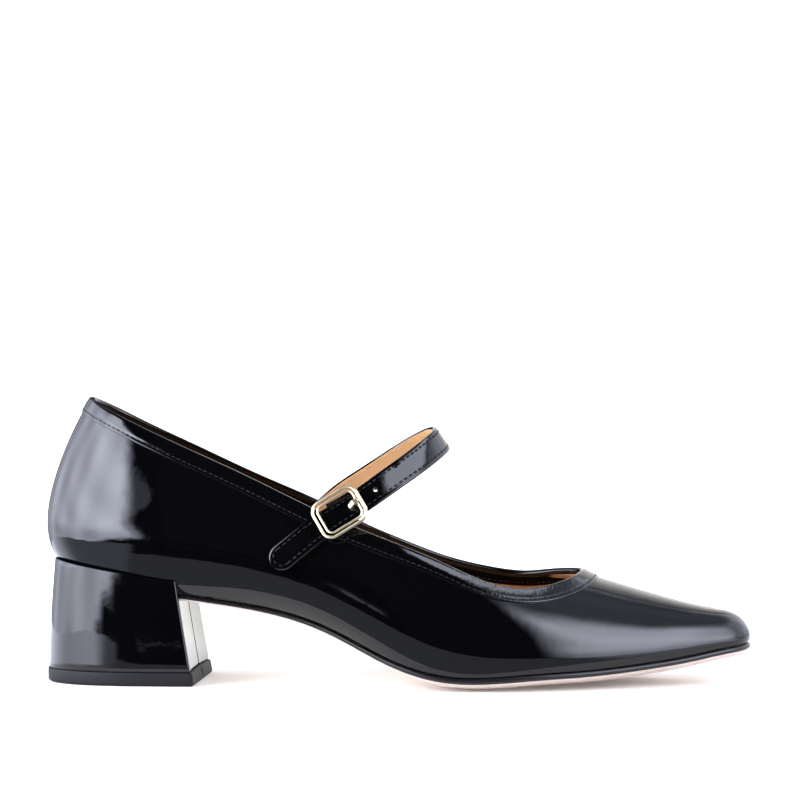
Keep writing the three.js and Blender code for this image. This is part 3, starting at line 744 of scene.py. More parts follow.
def binding():
    """Strip folded over the topline: up the outside, round the edge, and down the lining."""
    proud = BINDING_PROUD
    rows = []
    outside = [(BINDING_WIDE - 0.05, -0.3), (BINDING_WIDE, 0.1), (BINDING_WIDE - 0.03, 0.32),
               (BINDING_WIDE - 0.16, proud - 0.02), (BINDING_WIDE - 0.4, proud + 0.02)]
    for distance, height in outside:
        rows.append(on_band(distance, height))
    for distance in np.linspace(BINDING_WIDE - 0.8, 0.4, 10):
        seam = -0.1 * math.exp(-((distance - BINDING_SEAM) / 0.45) ** 2)
        swell = 0.12 * math.sin(math.pi * distance / BINDING_WIDE)
        rows.append(on_band(distance, proud + seam + swell))
    radius = WALL / 2 + proud + 0.05
    middle = rim_point - rim_normal * WALL / 2 + rim_lift(0.0)
    for angle in np.linspace(0.1, 0.9, 9) * math.pi:
        rows.append(middle + rim_normal * radius * math.cos(angle)
                    - rim_down * radius * 0.8 * math.sin(angle))
    for distance, height in ((0.5, -WALL - 0.42), (1.1, -WALL - 0.4), (1.25, -WALL - 0.2),
                             (1.25, -WALL + 0.2)):
        rows.append(on_band(distance, height))
    grid = np.stack(rows)
    faces = sheet(*grid.shape[:2], wrap_rows=True, wrap_cols=True)
    return make_piece("topline_binding", grid, faces, binding_patent, smooth=60)


def facing():
    """Black strip stitched to the lining just below the topline."""
    edge = BINDING_INSIDE
    profile = [(0.9, -WALL + 0.2), (0.9, -WALL - 0.22)]
    profile += [(d, -WALL - 0.28) for d in np.linspace(1.3, edge - 0.3, 7)]
    profile += [(edge, -WALL - 0.2), (edge, -WALL + 0.2)]
    grid = np.stack([on_band(distance, height) for distance, height in profile])
    faces = sheet(*grid.shape[:2], wrap_rows=True, wrap_cols=True)
    return make_piece("topline_facing", grid, faces, facing_leather, smooth=60)


binding()
facing()


# ---------- stitches ----------

def stitches(name, middle, along, outward, length, width, height, material, slot):
    """A closed bead for each stitch: a long ellipsoid, blunt at its ends, half sunk."""
    rings, sides = 7, 8
    phi = np.linspace(0, np.pi, rings)[:, None]
    theta = (np.arange(sides) / sides * 2 * np.pi)[None, :]
    x = -np.cos(phi) * length / 2 + 0 * theta
    girth = np.sin(phi) ** 0.6
    y = girth * np.cos(theta) * width / 2
    z = girth * np.sin(theta) * height
    across = unit(np.cross(outward, along))
    grid = (middle[:, None, None] + along[:, None, None] * x[None, ..., None]
            + across[:, None, None] * y[None, ..., None]
            + outward[:, None, None] * z[None, ..., None])
    quads = sheet(rings, sides, wrap_cols=True)
    faces = (np.arange(len(middle))[:, None, None] * rings * sides + quads[None]).reshape(-1, 4)
    return make_piece(name, grid, faces, material, smooth=180)


def along_loop(points, normals, pitch):
    """Evenly spaced middles, directions and normals on a closed line of points."""
    gaps = np.linalg.norm(np.roll(points, -1, 0) - points, axis=1)
    length = np.concatenate([[0], np.cumsum(gaps)])
    count = int(length[-1] / pitch)
    even = (np.arange(count) + 0.5) * length[-1] / count
    loop = np.concatenate([points, points[:1]])
    loop_n = np.concatenate([normals, normals[:1]])
    spot = np.stack([np.interp(even, length, loop[:, k]) for k in range(3)], -1)
    out = unit(np.stack([np.interp(even, length, loop_n[:, k]) for k in range(3)], -1))
    ahead = np.stack([np.interp((even + 0.3) % length[-1], length, loop[:, k])
                      for k in range(3)], -1)
    return spot, unit(ahead - spot), out


k_seam = int(np.argmin(np.abs(WALK - BINDING_SEAM))) + 1
seam_normal = normal_at(*rim_track[k_seam])
for label, height, size, finish in (
        ("topline_needle_marks", BINDING_PROUD - 0.04, (1.85, 0.72, 0.08), needle_black),
        ("topline_stitches_outside", BINDING_PROUD - 0.02, (1.45, 0.36, 0.17), black_thread),
        ("topline_stitches_inside", -WALL - 0.28, (1.5, 0.42, 0.2), black_thread)):
    line = on_band(BINDING_SEAM, height)
    spot, ahead, out = along_loop(line, seam_normal, STITCH_PITCH)
    stitches(label, spot, ahead, out if height > 0 else -out, *size, finish, "patent_leather")


# ---------- sole, insole ----------

EDGE_COUNT = 360
edge_u = np.arange(EDGE_COUNT) / EDGE_COUNT * 2 * STATIONS


def edge_ring(push, height):
    """The bottom edge of the last pushed out in plan, at its own height."""
    point = place(edge_u, 0.0)
    along = place(edge_u + 0.02, 0.0) - place(edge_u - 0.02, 0.0)
    out = unit(vec(along[:, 1], -along[:, 0], 0))
    moved = point + out * push(point[:, 0])[:, None]
    moved[:, 2] = height(point[:, 2], point[:, 0])
    return moved


def cap(ring, across, drop):
    """Ruled cap across a ring, from its outer to its inner side, hung down by drop."""
    half = len(ring) // 2
    j = np.arange(half + 1)
    a = ring[j]
    b = ring[(len(ring) - j) % len(ring)]
    k = np.linspace(0, 1, across + 1)[None, :, None]
    grid = a[:, None] * (1 - k) + b[:, None] * k
    w = 2 * k[..., 0] - 1
    inside = (np.abs(w) < 1) & ((j > 0) & (j < half))[:, None]
    grid[..., 2] = np.where(inside, drop(grid, w), grid[..., 2])
    return grid


def slab_piece(name, rings, low_drop, high_drop, material, ring_paint=None, smooth=40):
    """Closed body from stacked rings with a ruled cap below and above."""
    rings = np.stack(rings)
    low = cap(rings[0], 40, low_drop)
    high = cap(rings[-1], 40, high_drop)
    counts = [rings.shape[0] * rings.shape[1], low.shape[0] * low.shape[1]]
    faces = np.concatenate([
        sheet(*rings.shape[:2], wrap_cols=True),
        sheet(*low.shape[:2], start=counts[0], flip=True),
        sheet(*high.shape[:2], start=sum(counts)),
    ])
    points = np.concatenate([g.reshape(-1, 3) for g in (rings, low, high)])
    values = None
    if ring_paint is not None:
        paint = np.repeat(ring_paint, rings.shape[1])
        bare = np.full(counts[1], ring_paint[0])
        values = {"paint": np.concatenate([paint, bare, np.ones(high.shape[0] * high.shape[1])])}
    return make_piece(name, points, faces, material, smooth=smooth, values=values)


def sole_rings():
    """Rings down the rounded edge, each set in from the last's edge by the sole's tables."""
    rings = []
    for share, inset, _ in SOLE_EDGE:
        rings.append(edge_ring(
            lambda x: sole["proud"](x) - inset * np.clip(x / 120, 0.3, 1),
            lambda z, x: z - CLEAR - share * sole["edge"](x)))
    return rings[::-1]


def sole_low(grid, w):
    """The sole's underside hangs down by its belly, flattest in the middle, never below 0."""
    return np.maximum(0, grid[..., 2] - sole["belly"](grid[..., 0]) * (1 - w ** 4))


outsole = slab_piece("outsole_sheet", sole_rings(), sole_low,
                     lambda grid, w: grid[..., 2] - 0.3 * (1 - w * w),
                     sole_resin, SOLE_EDGE[::-1, 2], smooth=60)
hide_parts("outsole")


def sock_rings():
    """Insole edge following the lining, its top edge rounded over."""
    clear = -(WALL + 0.25)
    rings = []
    for rise, inset in ((0, 0.0), (1.0, 0.0), (2.0, 0.0), (INSOLE - 0.3, 0.05), (INSOLE, 0.3)):
        rings.append(offset(edge_u, rise_to(edge_u, rise), clear - inset))
    base = rings[0].copy()
    base[:, 2] = np.minimum(base[:, 2] - 0.2, last_z(edge_u) + 0.1)
    return [base] + rings


insole = slab_piece("insole_sock", sock_rings(),
                    lambda grid, w: grid[..., 2] - 0.3 * (1 - w * w),
                    lambda grid, w: grid[..., 2] - 0.8 * (1 - w ** 4) - 0.1,
                    sock, smooth=60)
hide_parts("insole")


# ---------- heel ----------

def heel_plan(back, breast, half, corner=HEEL_CORNER):
    """Plan of the heel as a ring: superellipse back, straight sides, rounded breast corners."""
    angle = np.linspace(-np.pi / 2, np.pi / 2, 97)
    x = back + HEEL_ROUND * (1 - np.cos(angle) ** HEEL_OVAL)
    y = half * np.sign(angle) * np.abs(np.sin(angle)) ** HEEL_OVAL
    sides = np.linspace(0, 1, 26)[1:-1]
    turn = np.linspace(0, np.pi / 2, 7)
    front_x = breast - corner + corner * np.sin(turn)
    front_y = half - corner + corner * np.cos(turn)
    straight = back + HEEL_ROUND + (breast - corner - back - HEEL_ROUND) * sides
    face = np.linspace(half - corner, corner - half, 42)[1:-1]
    wall = half + 0 * straight
    xs = np.concatenate([x, straight, front_x, breast + 0 * face, front_x[::-1], straight[::-1]])
    ys = np.concatenate([y, wall, front_y, face, -front_y[::-1], -wall])
    return xs, ys


def foot_underside(x):
    """Side-to-side profile of sole and upper at x: distances off the middle and heights."""
    station = bisect(1.0, 8.0, lambda u: last_x(u) < x)
    rises = np.linspace(0, 12, 25)
    line = station + 0 * rises
    outer = place(line, rise_to(line, rises))
    bottom = last_z(station) - CLEAR - sole["edge"](np.array(x))
    y = np.concatenate([[0], np.abs(outer[:, 1])])
    z = np.concatenate([[bottom], outer[:, 2]])
    z[1] = bottom
    order = np.argsort(y)
    return y[order], z[order]


def heel_cover():
    """Patent sleeve over the heel block: walls up to the rim, a rounded rim, and a lip."""
    xs, ys = heel_plan(FOOT_BACK, FOOT_BREAST, FOOT_HALF)
    under_y, under_z = foot_underside(HEEL_SEAT_X)
    front = smoothstep(FOOT_BREAST - 2.2, FOOT_BREAST - 0.1, xs)
    rim = HEEL_RIM - HEEL_RIM_SLOPE * np.minimum(xs, 52)
    breast_top = np.interp(np.abs(ys), under_y, under_z) - CLEAR
    top = rim * (1 - front) + np.minimum(breast_top, rim) * front
    rows = []
    for s in np.concatenate([[0.0, 0.012], np.linspace(0.04, 1, 26)]):
        z = TOPLIFT + CLEAR + (top - TOPLIFT - CLEAR) * s
        back, breast, half = heel["back"](z), heel["breast"](z), heel["half"](z)
        tuck = 0.25 * math.exp(-s / 0.012)
        dish = HEEL_DISH * np.cos(np.pi * np.clip(ys / 50, -0.5, 0.5))
        dish = dish * (xs > FOOT_BREAST - 0.5)
        x = back + (xs - FOOT_BACK) / (FOOT_BREAST - FOOT_BACK) * (breast - back)
        x = x - dish + tuck * (1 - 2 * (xs > 30))
        rows.append(vec(x, ys * (half - tuck) / FOOT_HALF, z))
    last_row = rows[-1]
    centre = vec(27, 0, 0)
    inward = unit(vec(centre[0] - last_row[:, 0], -last_row[:, 1], 0))
    for inset, drop in ((0.15, -0.12), (0.4, -0.16), (0.7, -0.1), (0.95, 0.15), (1.0, 4.0)):
        rows.append(last_row + inward * inset - vec(0, 0, drop))
    grid = np.stack(rows)
    faces = tube(grid)
    return make_piece("heel_cover", grid, faces, heel_patent, smooth=50)


heel_piece = heel_cover()
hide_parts("heel_block")


def breast_seam():
    """Butt seam of the cover down the breast: a thin flat bead from toplift to sole."""
    z = np.linspace(TOPLIFT + CLEAR, 34.5, 24)
    angle = np.arange(10) / 10 * 2 * np.pi
    x = heel["breast"](z)[:, None] - HEEL_DISH + 0.12 * np.cos(angle)
    y = 1.5 + 0.3 * np.sin(angle) + 0.05 * np.sin(z / 2.2)[:, None]
    grid = vec(x, y, z[:, None] + 0 * x)
    return make_piece("heel_seam", grid, tube(grid), needle_black, smooth=180)


breast_seam()


def toplift_piece():
    """Rubber toplift: straight wall with a softened upper and a rounded lower edge."""
    rows = []
    for z, grow in ((0.0, -1.2), (0.08, -0.75), (0.35, -0.32), (0.8, -0.06), (1.3, 0.0),
                    (2.8, 0.02), (4.4, 0.0), (4.75, -0.08), (TOPLIFT, -0.3)):
        breast = TOPLIFT_BREAST - TOPLIFT_LEAN * z / TOPLIFT + grow
        xs, ys = heel_plan(TOPLIFT_BACK - grow, breast, FOOT_HALF + grow, TOPLIFT_CORNER)
        notch = 0.7 * np.exp(-(ys / 1.4) ** 2) * (xs > breast - 0.5) * (1.2 < z < 4.5)
        rows.append(vec(xs - notch, ys, z))
    grid = np.stack(rows)
    return make_piece("toplift_rubber", grid, tube(grid), heel_rubber, smooth=50)


toplift = toplift_piece()
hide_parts("toplift")


# ---------- strap ----------

def on_last(x, z, outer):
    """Station and climb of the last at a side-view point, on its outer or inner side."""
    def line(station):
        return np.array(station if outer else 2 * STATIONS - station)

    def climb(station):
        return climb_to(line(station), lambda _: z)

    station = bisect(2.0, STATIONS - 2.0, lambda s: place(line(s), climb(s))[0] < x)
    return line(station), climb(station)


def strap_frames(distances=None, step=0.6):
    """Middle line, direction, width direction and outward direction of the strap."""
    points = STRAP_ROUTE.copy()
    faces = np.zeros_like(points)
    walls = np.isnan(points[:, 1])
    for i in np.flatnonzero(walls):
        outer = i < len(points) / 2
        u, t = on_last(points[i, 0], points[i, 2], outer)
        half = STRAP_THICK / 2
        away = CLEAR + half + 0.4 if outer else -(WALL + CLEAR + half + 1.5)
        points[i] = offset(u, t, away)
        faces[i] = normal_at(u, t)
    knots = np.concatenate([[0], np.cumsum(np.linalg.norm(np.diff(points, axis=0), axis=1))])
    route = open_spline(knots, points)
    along = unit(route(knots + 0.5) - route(knots - 0.5))
    across = vec(STRAP_LEAN[0], -STRAP_FLARE * points[:, 1], STRAP_LEAN[1])
    faces = np.where(walls[:, None], faces, unit(np.cross(along, across)))
    facing = open_spline(knots, faces)
    fine = np.linspace(0, knots[-1], 2000)
    walked = np.concatenate([[0], np.cumsum(np.linalg.norm(np.diff(route(fine), axis=0), axis=1))])
    if distances is None:
        distances = np.concatenate([[0.0, 0.12, 0.35, 0.7, 1.2, 1.8, 2.6, 3.6],
                                    np.arange(STRAP_WIDE / 2, walked[-1], step), [walked[-1]]])
    s = np.interp(distances, walked, fine)
    along = unit(route(s + 0.05) - route(s - 0.05))
    out = facing(s)
    out = unit(out - along * (out * along).sum(1, keepdims=True))
    return distances, route(s), along, np.cross(out, along), out, walked[-1]


def strap_half(distance, margin=0.0):
    """Half width along the strap: a round tail end, then the full width."""
    radius = STRAP_WIDE / 2 - margin
    tip = np.clip((distance - margin) / radius, 0, 1)
    return radius * np.sqrt(np.maximum(1 - (1 - tip) ** 2, 1e-6))


def strap_layer(name, low, high, margin, soften, material):
    """Ribbon with rounded edges from low to high off the strap's middle surface."""
    distance, point, _, across, out, _ = strap_frames()
    keep = distance >= margin
    distance, point, across, out = distance[keep], point[keep], across[keep], out[keep]
    angle = np.linspace(0, np.pi / 2, 5)
    flat = np.linspace(-1, 1, 13)[1:-1]
    thick = high - low
    half = strap_half(distance, margin)[:, None]
    curl = np.minimum(soften, half)
    top = np.concatenate([-1 + 0 * angle, flat, 1 + 0 * angle])[None, :]
    reach = np.concatenate([np.cos(angle), 0 * flat, np.cos(angle)[::-1]])[None, :]
    side = np.concatenate([np.sin(angle), 1 + 0 * flat, np.sin(angle)[::-1]])[None, :]
    w_top = top * (half - curl) + np.sign(top) * curl * reach
    h_top = low + thick / 2 + thick / 2 * side
    w = np.concatenate([w_top, w_top[:, ::-1]], axis=1)
    h = np.concatenate([h_top, 2 * low + thick - h_top[:, ::-1]], axis=1) + 0 * w
    crown = 0.12 * (1 - (w / half) ** 2) * (h > low + thick / 2)
    grid = point[:, None] + across[:, None] * w[..., None] + out[:, None] * (h + crown)[..., None]
    return make_piece(name, grid, tube(grid), material, smooth=60)


def carve(piece, cutters):
    """Cuts closed cutter meshes out of a piece and keeps the result as its mesh."""
    for cutter in cutters:
        cut = piece.modifiers.new("cut", "BOOLEAN")
        cut.operation = "DIFFERENCE"
        cut.solver = "EXACT"
        cut.object = cutter
    graph = bpy.context.evaluated_depsgraph_get()
    done = bpy.data.meshes.new_from_object(piece.evaluated_get(graph))
    piece.modifiers.clear()
    piece.data = done


strap = strap_layer("strap_patent", -0.55, 1.0, 0.0, 0.55, strap_patent)
strap_lining = strap_layer("strap_lining", -1.0, -0.5, 0.45, 0.25, lining)
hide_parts("strap")

HOLES = (18.5, 23.6, 45.4)  # along the strap from its tail end
HOLE_RADIUS = 0.85


def hole_cutters():
    """Round bars square to the strap at each hole."""
    made = []
    _, point, along, across, out, _ = strap_frames(np.array(HOLES))
    angle = np.arange(24) / 24 * 2 * np.pi
    for k in range(len(HOLES)):
        ring = (along[k] * np.cos(angle)[:, None] + across[k] * np.sin(angle)[:, None])
        rings = np.stack([point[k] + ring * HOLE_RADIUS + out[k] * h for h in (-3, 3)])
        mesh = new_mesh("punch", rings + TO_FRAME, tube(rings))
        cutter = bpy.data.objects.new("punch", mesh)
        bpy.context.collection.objects.link(cutter)
        made.append(cutter)
    return made


punches = hole_cutters()
for piece in (strap, strap_lining):
    carve(piece, punches)
for punch in punches:
    bpy.data.objects.remove(punch)


def strap_stitches():
    """Two rows along the strap, joined by a row round its tail end, on both faces."""
    _, _, _, _, _, total = strap_frames()
    radius = STRAP_WIDE / 2 - STRAP_SEAM
    straight = np.arange(STRAP_WIDE / 2 + STRAP_PITCH / 2, total - 1, STRAP_PITCH)
    bend = np.linspace(-np.pi / 2, np.pi / 2, 5)
    distance = np.concatenate([straight, straight, STRAP_WIDE / 2 - radius * np.cos(bend)])
    side = np.concatenate([radius + 0 * straight, -radius + 0 * straight, radius * np.sin(bend)])
    _, point, along, across, out, _ = strap_frames(distance)
    turn = np.concatenate([0 * straight, 0 * straight, bend + np.pi / 2])[:, None]
    along_row = along * np.cos(turn) + across * np.sin(turn)
    along_row[-5:] = along[-5:] * np.sin(bend)[:, None] + across[-5:] * np.cos(bend)[:, None]
    middle = point + across * side[:, None]
    stitches("strap_needle_marks", middle + out * 1.05, along_row, out, 1.9, 0.85, 0.08,
             needle_black, "patent_leather")
    stitches("strap_stitches_outside", middle + out * 1.07, along_row, out, 1.4, 0.34, 0.16,
             black_thread, "patent_leather")
    stitches("strap_stitches_inside", middle - out * 1.0, along_row, -out, 1.7, 0.42, 0.16,
             tan_thread, "tan_lining")


strap_stitches()


# ---------- buckle ----------

def buckle_frame_vectors():
    """Middle of the buckle and its directions along, across and off the strap."""
    low, high = (np.array(corner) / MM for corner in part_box("buckle_frame"))
    middle = (low + high) / 2 - TO_FRAME
    distances, point, along, across, out, _ = strap_frames()
    outer = point[:, 1] < 0
    gap = np.where(outer, np.abs(point[:, 0] - middle[0]), 1e6)
    k = int(np.argmin(gap))
    return middle, along[k], across[k], out[k], distances[k]


B_MIDDLE, B_ALONG, B_ACROSS, B_OUT, B_DISTANCE = buckle_frame_vectors()


def buckle_space(local):
    """Local buckle points (along, across, off) to last coordinates."""
    return (B_MIDDLE + local[..., :1] * B_ALONG + local[..., 1:2] * B_ACROSS
            + local[..., 2:] * B_OUT)


def backing():
    """Black strip behind the buckle, under the strap; it stands out past the strap's top edge."""
    distance = np.linspace(B_DISTANCE - 2.5, B_DISTANCE + 8.3, 24)
    _, point, _, across, out, _ = strap_frames(distance)
    angle = np.arange(24) / 24 * 2 * np.pi
    w = 3.8 + 2.5 * np.sign(np.cos(angle)) * np.abs(np.cos(angle)) ** 0.3
    h = -1.25 + 0.17 * np.sign(np.sin(angle)) * np.abs(np.sin(angle)) ** 0.6
    grid = point[:, None] + across[:, None] * w[:, None] + out[:, None] * h[:, None]
    return make_piece("buckle_backing", grid, tube(grid), strap_patent, smooth=60)


backing()


def wire_ring(name, long, wide, corner, wire_wide, wire_high, shift=0.0):
    """Rounded rectangle of wire; the wire's section is a superellipse, flatter on top."""
    arc = np.linspace(0, np.pi / 2, 13)
    middles = []
    outs = []
    for quarter, (sx, sy) in enumerate(((1, 1), (-1, 1), (-1, -1), (1, -1))):
        angle = arc + quarter * np.pi / 2
        direction = np.stack([np.cos(angle), np.sin(angle)], -1)
        centre = np.array([sx * (long / 2 - corner), sy * (wide / 2 - corner)])
        middles.append(centre + direction * (corner - wire_wide / 2))
        outs.append(direction)
    middles = np.concatenate(middles)
    outs = np.concatenate(outs)
    angle = np.arange(20) / 20 * 2 * np.pi
    side = np.sign(np.cos(angle)) * np.abs(np.cos(angle)) ** 0.8 * wire_wide / 2
    off = np.sign(np.sin(angle)) * np.abs(np.sin(angle)) ** 0.8 * wire_high / 2
    plan = middles[:, None] + outs[:, None] * side[None, :, None]
    local = np.concatenate([plan, np.broadcast_to(off[None, :, None], plan.shape[:2] + (1,))], -1)
    local[..., 0] += shift
    faces = sheet(*local.shape[:2], wrap_rows=True, wrap_cols=True)
    return make_piece(name, buckle_space(local), faces, gilt, smooth=70)


def bar(name, start, end, radius, steps=14):
    """Rounded bar between two local points, its ends closed by domes."""
    start, end = np.array(start, float), np.array(end, float)
    along = unit(end - start)
    side = unit(np.cross(np.array([0, 0, 1.0]), along))
    up = np.cross(along, side)
    phi = np.linspace(0, np.pi, steps)
    length = np.linalg.norm(end - start)
    s = radius - radius * np.cos(phi)
    s = np.where(phi > np.pi / 2, length - (2 * radius - s), s)
    girth = np.maximum(np.sin(phi), 1e-3) ** 0.7
    theta = np.arange(16) / 16 * 2 * np.pi
    ring = side[None] * np.cos(theta)[:, None] + up[None] * np.sin(theta)[:, None]
    local = start + along * s[:, None, None] + ring[None] * (girth * radius)[:, None, None]
    return make_piece(name, buckle_space(local), tube(local), gilt, smooth=70)


INNER_LONG = BUCKLE_LONG - RING_STEP
INNER_WIDE = BUCKLE_WIDE - RING_STEP
outer_ring = wire_ring("buckle_outer_ring", BUCKLE_LONG, BUCKLE_WIDE, BUCKLE_CORNER, 1.05, 1.15)
wire_ring("buckle_inner_ring", INNER_LONG, INNER_WIDE, 2.7, 0.8, 0.95, 0.2)
bar("buckle_end_bar", (END_BAR_X, -4.5, 0.1), (END_BAR_X, 4.5, 0.1), 0.68)
for label, side in (("buckle_bridge_upper", 1), ("buckle_bridge_lower", -1)):
    bar(label, (6.9, side * 4.0, -0.1), (END_BAR_X, side * 4.2, -0.1), 0.42)
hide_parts("buckle_frame")


def prong():
    """Flat tongue starting at its bar, with a groove along it and a round tip that dips."""
    s = np.linspace(0, 1, 24)
    half = PRONG_HALF * np.sqrt(np.clip(1 - (np.clip(s - 0.86, 0, 1) / 0.14) ** 2, 1e-4, 1))
    half = half * np.sqrt(np.clip(1 - (np.clip(0.06 - s, 0, 1) / 0.06) ** 2, 1e-4, 1))
    lift = 0.75 - 1.5 * smoothstep(0.45, 1.0, s) + 0.15 * np.sin(np.pi * s)
    angle = np.arange(24) / 24 * 2 * np.pi
    side = np.sign(np.cos(angle)) * np.abs(np.cos(angle)) ** 0.7
    off = np.sign(np.sin(angle)) * np.abs(np.sin(angle)) ** 0.7 * 0.42
    groove = -0.16 * np.exp(-(side / 0.3) ** 2) * (off > 0)
    local = np.stack(np.broadcast_arrays(
        (PRONG_ROOT - PRONG_LONG * s)[:, None], half[:, None] * side[None, :],
        lift[:, None] + (off + groove)[None, :] * np.minimum(1, half / 0.5)[:, None]), -1)
    return make_piece("buckle_tongue", buckle_space(local), tube(local), gilt, smooth=60)


tongue = prong()
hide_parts("buckle_prong")


# ---------- studio ----------

LEFT_CENTRE = (-105, -20, 55)  # each panel is bent round its centre; frame millimetres
RIGHT_CENTRE = (85, -20, 18)
STRAP_CENTRE = (5, -22, 77)

def stage_mesh(name, points, faces, material):
    """A piece of the studio, in millimetres in the frame."""
    mesh = new_mesh(name, points, faces)
    mesh.shade_smooth()
    mesh.materials.append(material)
    made = bpy.data.objects.new(name, mesh)
    bpy.context.collection.objects.link(made)
    return made


def backdrop():
    """Pale paper sweep: flat floor, a wide curve behind the shoe, then a wall; its brightness is
    painted light, a glow set point by point.
    """
    material, tree, surface, _ = new_material("paper_sweep", **{
        "Base Color": linear("F8F3EA"), "Roughness": 0.9, "Specular IOR Level": 0.1,
        "Emission Color": (1, 0.985, 0.965, 1),
    })
    glow = add_node(tree, "Attribute", attribute_name="glow").outputs["Fac"]
    tree.links.new(glow, surface.inputs["Emission Strength"])
    turn = np.linspace(0, np.pi / 2, 24)
    flat = np.concatenate([[-1800], np.arange(-260, 430, 30), [560]])
    y = np.concatenate([flat, 700 + 500 * np.sin(turn), np.full(12, 1200.0)])
    z = np.concatenate([np.zeros(len(flat)), 500 * (1 - np.cos(turn)), np.linspace(560, 1700, 12)])
    x = np.concatenate([[-2200], np.arange(-180, 141, 20), [2200]])
    grid = vec(x[None, :], y[:, None], z[:, None])
    sweep = stage_mesh("paper_sweep", grid, sheet(*grid.shape[:2]), material)
    # Painted light on the paper: the glow is low next to the shoe, higher in front, rises towards
    # the wall and fades up it.
    lit = 0.06 + 0.94 * smoothstep(45, 420, y) + 0.4 * smoothstep(-60, -260, y)
    lit = lit * (1 - 0.75 * smoothstep(650, 1500, z))
    # A painted pool of light on the floor under the shoe's arch.
    arch = 0.32 * np.exp(-((x[None, :] + 40) / 50) ** 2 - (y[:, None] / 70) ** 2)
    paint(sweep.data, "glow", lit[:, None] + arch * (z[:, None] < 1))


def glow_material(name, sheen=False):
    # Diffusion cloth lit from behind: brightness is painted point by point on the panel.
    # With sheen, the same glow makes the table card: a painted reflection of the table, plus a
    # painted sheen at a grazing look, where real paper would mirror the foot of the cloth.
    made = bpy.data.materials.new(name)
    made.use_nodes = True
    tree = made.node_tree
    tree.nodes.clear()
    glow = add_node(tree, "Attribute", attribute_name="glow").outputs["Fac"]
    if sheen:
        facing = add_node(tree, "LayerWeight", {"Blend": 0.5}).outputs["Facing"]
        extra = add_node(tree, "Attribute", attribute_name="sheen").outputs["Fac"]
        grazing = add_node(tree, "MapRange", {
            "Value": facing, "From Min": 0.855, "From Max": 0.905, "To Max": extra,
        }).outputs["Result"]
        glow = add_node(tree, "Math", {0: glow, 1: grazing}, operation="ADD").outputs[0]
    lamp = add_node(tree, "Emission", {"Color": (0.81, 0.85, 1.0, 1), "Strength": glow})
    output = add_node(tree, "OutputMaterial")
    tree.links.new(lamp.outputs[0], output.inputs["Surface"])
    return made


def diffuser(name, centre, radius, sweep, height, brightness, material, low=1.0):
    """Cloth bent round a centre: azimuth (degrees from straight ahead, right positive) and
    height over a grid; brightness(azimuth, elevation) seen from the centre."""
    azimuth = np.linspace(*sweep, 110)[:, None]
    z = np.linspace(low, height, 60)[None, :]
    elevation = np.degrees(np.arctan2(z - centre[2], radius))
    turn = np.radians(azimuth)
    grid = vec(centre[0] + radius * np.sin(turn), centre[1] - radius * np.cos(turn), z)
    made = stage_mesh(name, grid, sheet(*grid.shape[:2]), material)
    glow = brightness(azimuth + 0 * elevation, elevation + 0 * azimuth)
    paint(made.data, "glow", glow)
    made.visible_camera = False
    return made


def left_fade(azimuth):
    """The left cloth's light: a bell round its front part, nearly dark towards the back."""
    rear = 1 - 0.8 * smoothstep(-119, -142, azimuth)
    return (0.12 + 0.88 * np.exp(-((azimuth + 34) / 64) ** 2)) * rear


def left_glow(azimuth, elevation):
    """Brightest at the front, fading to the back; a dim strip before its bowed front edge."""
    front = -16.5 - 0.012 * np.maximum(elevation - 8, 0) ** 2
    front = front + 4 * smoothstep(4, -3, elevation) - 24 * smoothstep(-4, -9.5, elevation)
    edge = smoothstep(0, 9, front - azimuth)
    cloud = 1 + 0.2 * np.sin(azimuth / 6.5 + elevation / 9) * np.sin(elevation / 5.5 - azimuth / 21)
    spill = 0.8 * smoothstep(0, 1.2, -9.5 - 0.13 * (elevation - 15) ** 2 - azimuth)
    body = 11.0 * edge * left_fade(azimuth) * cloud * (1 - 0.3 * smoothstep(2, -5, elevation))
    return (body + spill) * (1 - smoothstep(38, 58, elevation))


def right_glow(azimuth, elevation):
    """Soft blob of light to the front right."""
    edge = smoothstep(24, 46, azimuth)
    fade = 1 - 0.72 * smoothstep(52, 84, azimuth)
    cloud = 1 + 0.12 * np.sin(azimuth / 4.5) * np.sin(elevation / 6.0)
    low = 0.5 + 0.5 * smoothstep(-4, 16, elevation)
    body = 8.4 * edge * fade * cloud * low * (1 - 0.92 * smoothstep(43, 58, elevation))
    fill = 0.5 * smoothstep(55, 78, azimuth) * (1 - 0.5 * smoothstep(120, 142, azimuth))
    return body + fill * smoothstep(42, 54, elevation)


def strap_glow(azimuth, elevation):
    """Light caught by the side of the strap."""
    return 5.8 * smoothstep(8, 20, azimuth) * smoothstep(43, 48, elevation)


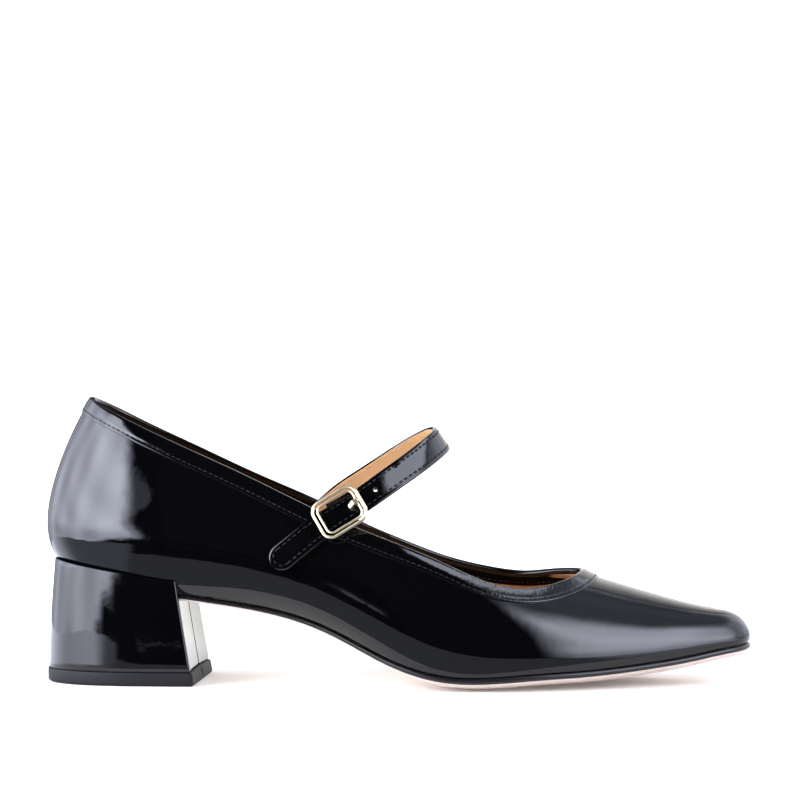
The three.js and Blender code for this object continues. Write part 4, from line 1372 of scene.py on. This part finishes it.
def table_shine():
    """Painted reflection of the table, seen only by the polished surfaces: grey close to the
    shoe, black farther out in front, brighter towards the foot of each diffuser, and a
    painted sheen at grazing angles on the left."""
    x = np.linspace(-460, 480, 189)[:, None]
    y = np.linspace(-460, 300, 153)[None, :]
    azimuth = np.degrees(np.arctan2(x - LEFT_CENTRE[0], LEFT_CENTRE[1] - y))
    left = smoothstep(-17, -23, azimuth)
    left_part = 1.0 + 1.5 * smoothstep(-80, -112, azimuth)
    sheen = 4.6 * left_fade(azimuth) * smoothstep(-26, -44, azimuth) * left
    right_x, right_y = x - RIGHT_CENTRE[0], y - RIGHT_CENTRE[1]
    right = smoothstep(28, 40, np.degrees(np.arctan2(right_x, -right_y)))
    reach = np.hypot(right_x, right_y)
    right_part = 0.7 + 1.1 * smoothstep(10, 80, reach) + 3.0 * smoothstep(110, 280, reach)
    front = 0.56 * smoothstep(-181, -175, y)
    glow = front * (1 - left) * (1 - right) + left_part * left + right_part * right * (1 - left)
    grid = vec(x, y, 1.0)
    faces = sheet(*grid.shape[:2])
    middle = grid.reshape(-1, 3)[faces].mean(1)
    faces = faces[(middle[:, 1] < -46) | (middle[:, 0] < -150)]
    # The card glows only for glossy rays: a painted reflection, not a lamp.
    card = stage_mesh("table_shine", grid, faces, glow_material("painted_table_reflection", True))
    paint(card.data, "glow", glow)
    paint(card.data, "sheen", sheen)
    # Black card seen only in reflections: a painted dark reflection of the table farther out in
    # front.
    far_x, far_y = [[-1500, 1500], [-1500, 1500]], [[-1700, -1700], [-459, -459]]
    material, _, _, _ = new_material("painted_black_reflection", **{
        "Base Color": linear("000000"), "Roughness": 1.0, "Specular IOR Level": 0.0,
    })
    black = stage_mesh("painted_black_reflection", vec(far_x, far_y, 1.5), sheet(2, 2), material)
    for made in (card, black):
        made.visible_camera = False
        made.visible_diffuse = False
        made.visible_shadow = False


def ceiling():
    """Dim cloth overhead and behind the shoe."""
    grid = vec([[-1200, 1200], [-1200, 1200]], [[60, 60], [1500, 1500]], 1500)
    made = stage_mesh("ceiling_cloth", grid, sheet(2, 2, flip=True), cloth)
    paint(made.data, "glow", np.full(4, 0.6))


cloth = glow_material("diffusion_cloth")
backdrop()
table_shine()
ceiling()
diffuser("left_diffuser", LEFT_CENTRE, 330, (-158, -8), 600, left_glow, cloth)
diffuser("right_diffuser", RIGHT_CENTRE, 360, (23, 150), 1100, right_glow, cloth)
diffuser("strap_diffuser", STRAP_CENTRE, 135, (7, 118), 285, strap_glow, cloth, low=205)
# Dim cloth behind the shoe's left, seen only in reflections: a painted dark reflection, lighting
# nothing.
painted_back_reflection = diffuser("painted_back_reflection", LEFT_CENTRE, 326, (-184, -150), 600,
                     lambda azimuth, elevation: 0.12 + 0 * azimuth, cloth)
painted_back_reflection.visible_diffuse = False
painted_back_reflection.visible_shadow = False

world = bpy.data.worlds.new("studio_dark")
world.use_nodes = True
world.node_tree.nodes["Background"].inputs["Color"].default_value = (0.02, 0.02, 0.021, 1)
bpy.context.scene.world = world
bpy.context.scene.view_settings.view_transform = "Standard"

CAMERA_TURN = math.radians(3.5)
CAMERA_AWAY = 981.0
CAMERA_TARGET = np.array([128.59, 0.0, 102.1])
CAMERA_LENS = 121.4

camera_data = bpy.data.cameras.new("camera")
camera_data.sensor_width = 36
camera_data.lens = CAMERA_LENS
camera_data.clip_start = 0.01
camera = bpy.data.objects.new("camera", camera_data)
bpy.context.collection.objects.link(camera)
aim = CAMERA_TARGET + TO_FRAME
camera.location = tuple((aim + CAMERA_AWAY * np.array(
    [math.sin(CAMERA_TURN), -math.cos(CAMERA_TURN), 0.0])) * MM)
camera.rotation_euler = (math.pi / 2, 0, CAMERA_TURN)
bpy.context.scene.camera = camera

for name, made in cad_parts.items():
    if not made.data.materials:
        made.data.materials.append(patent)
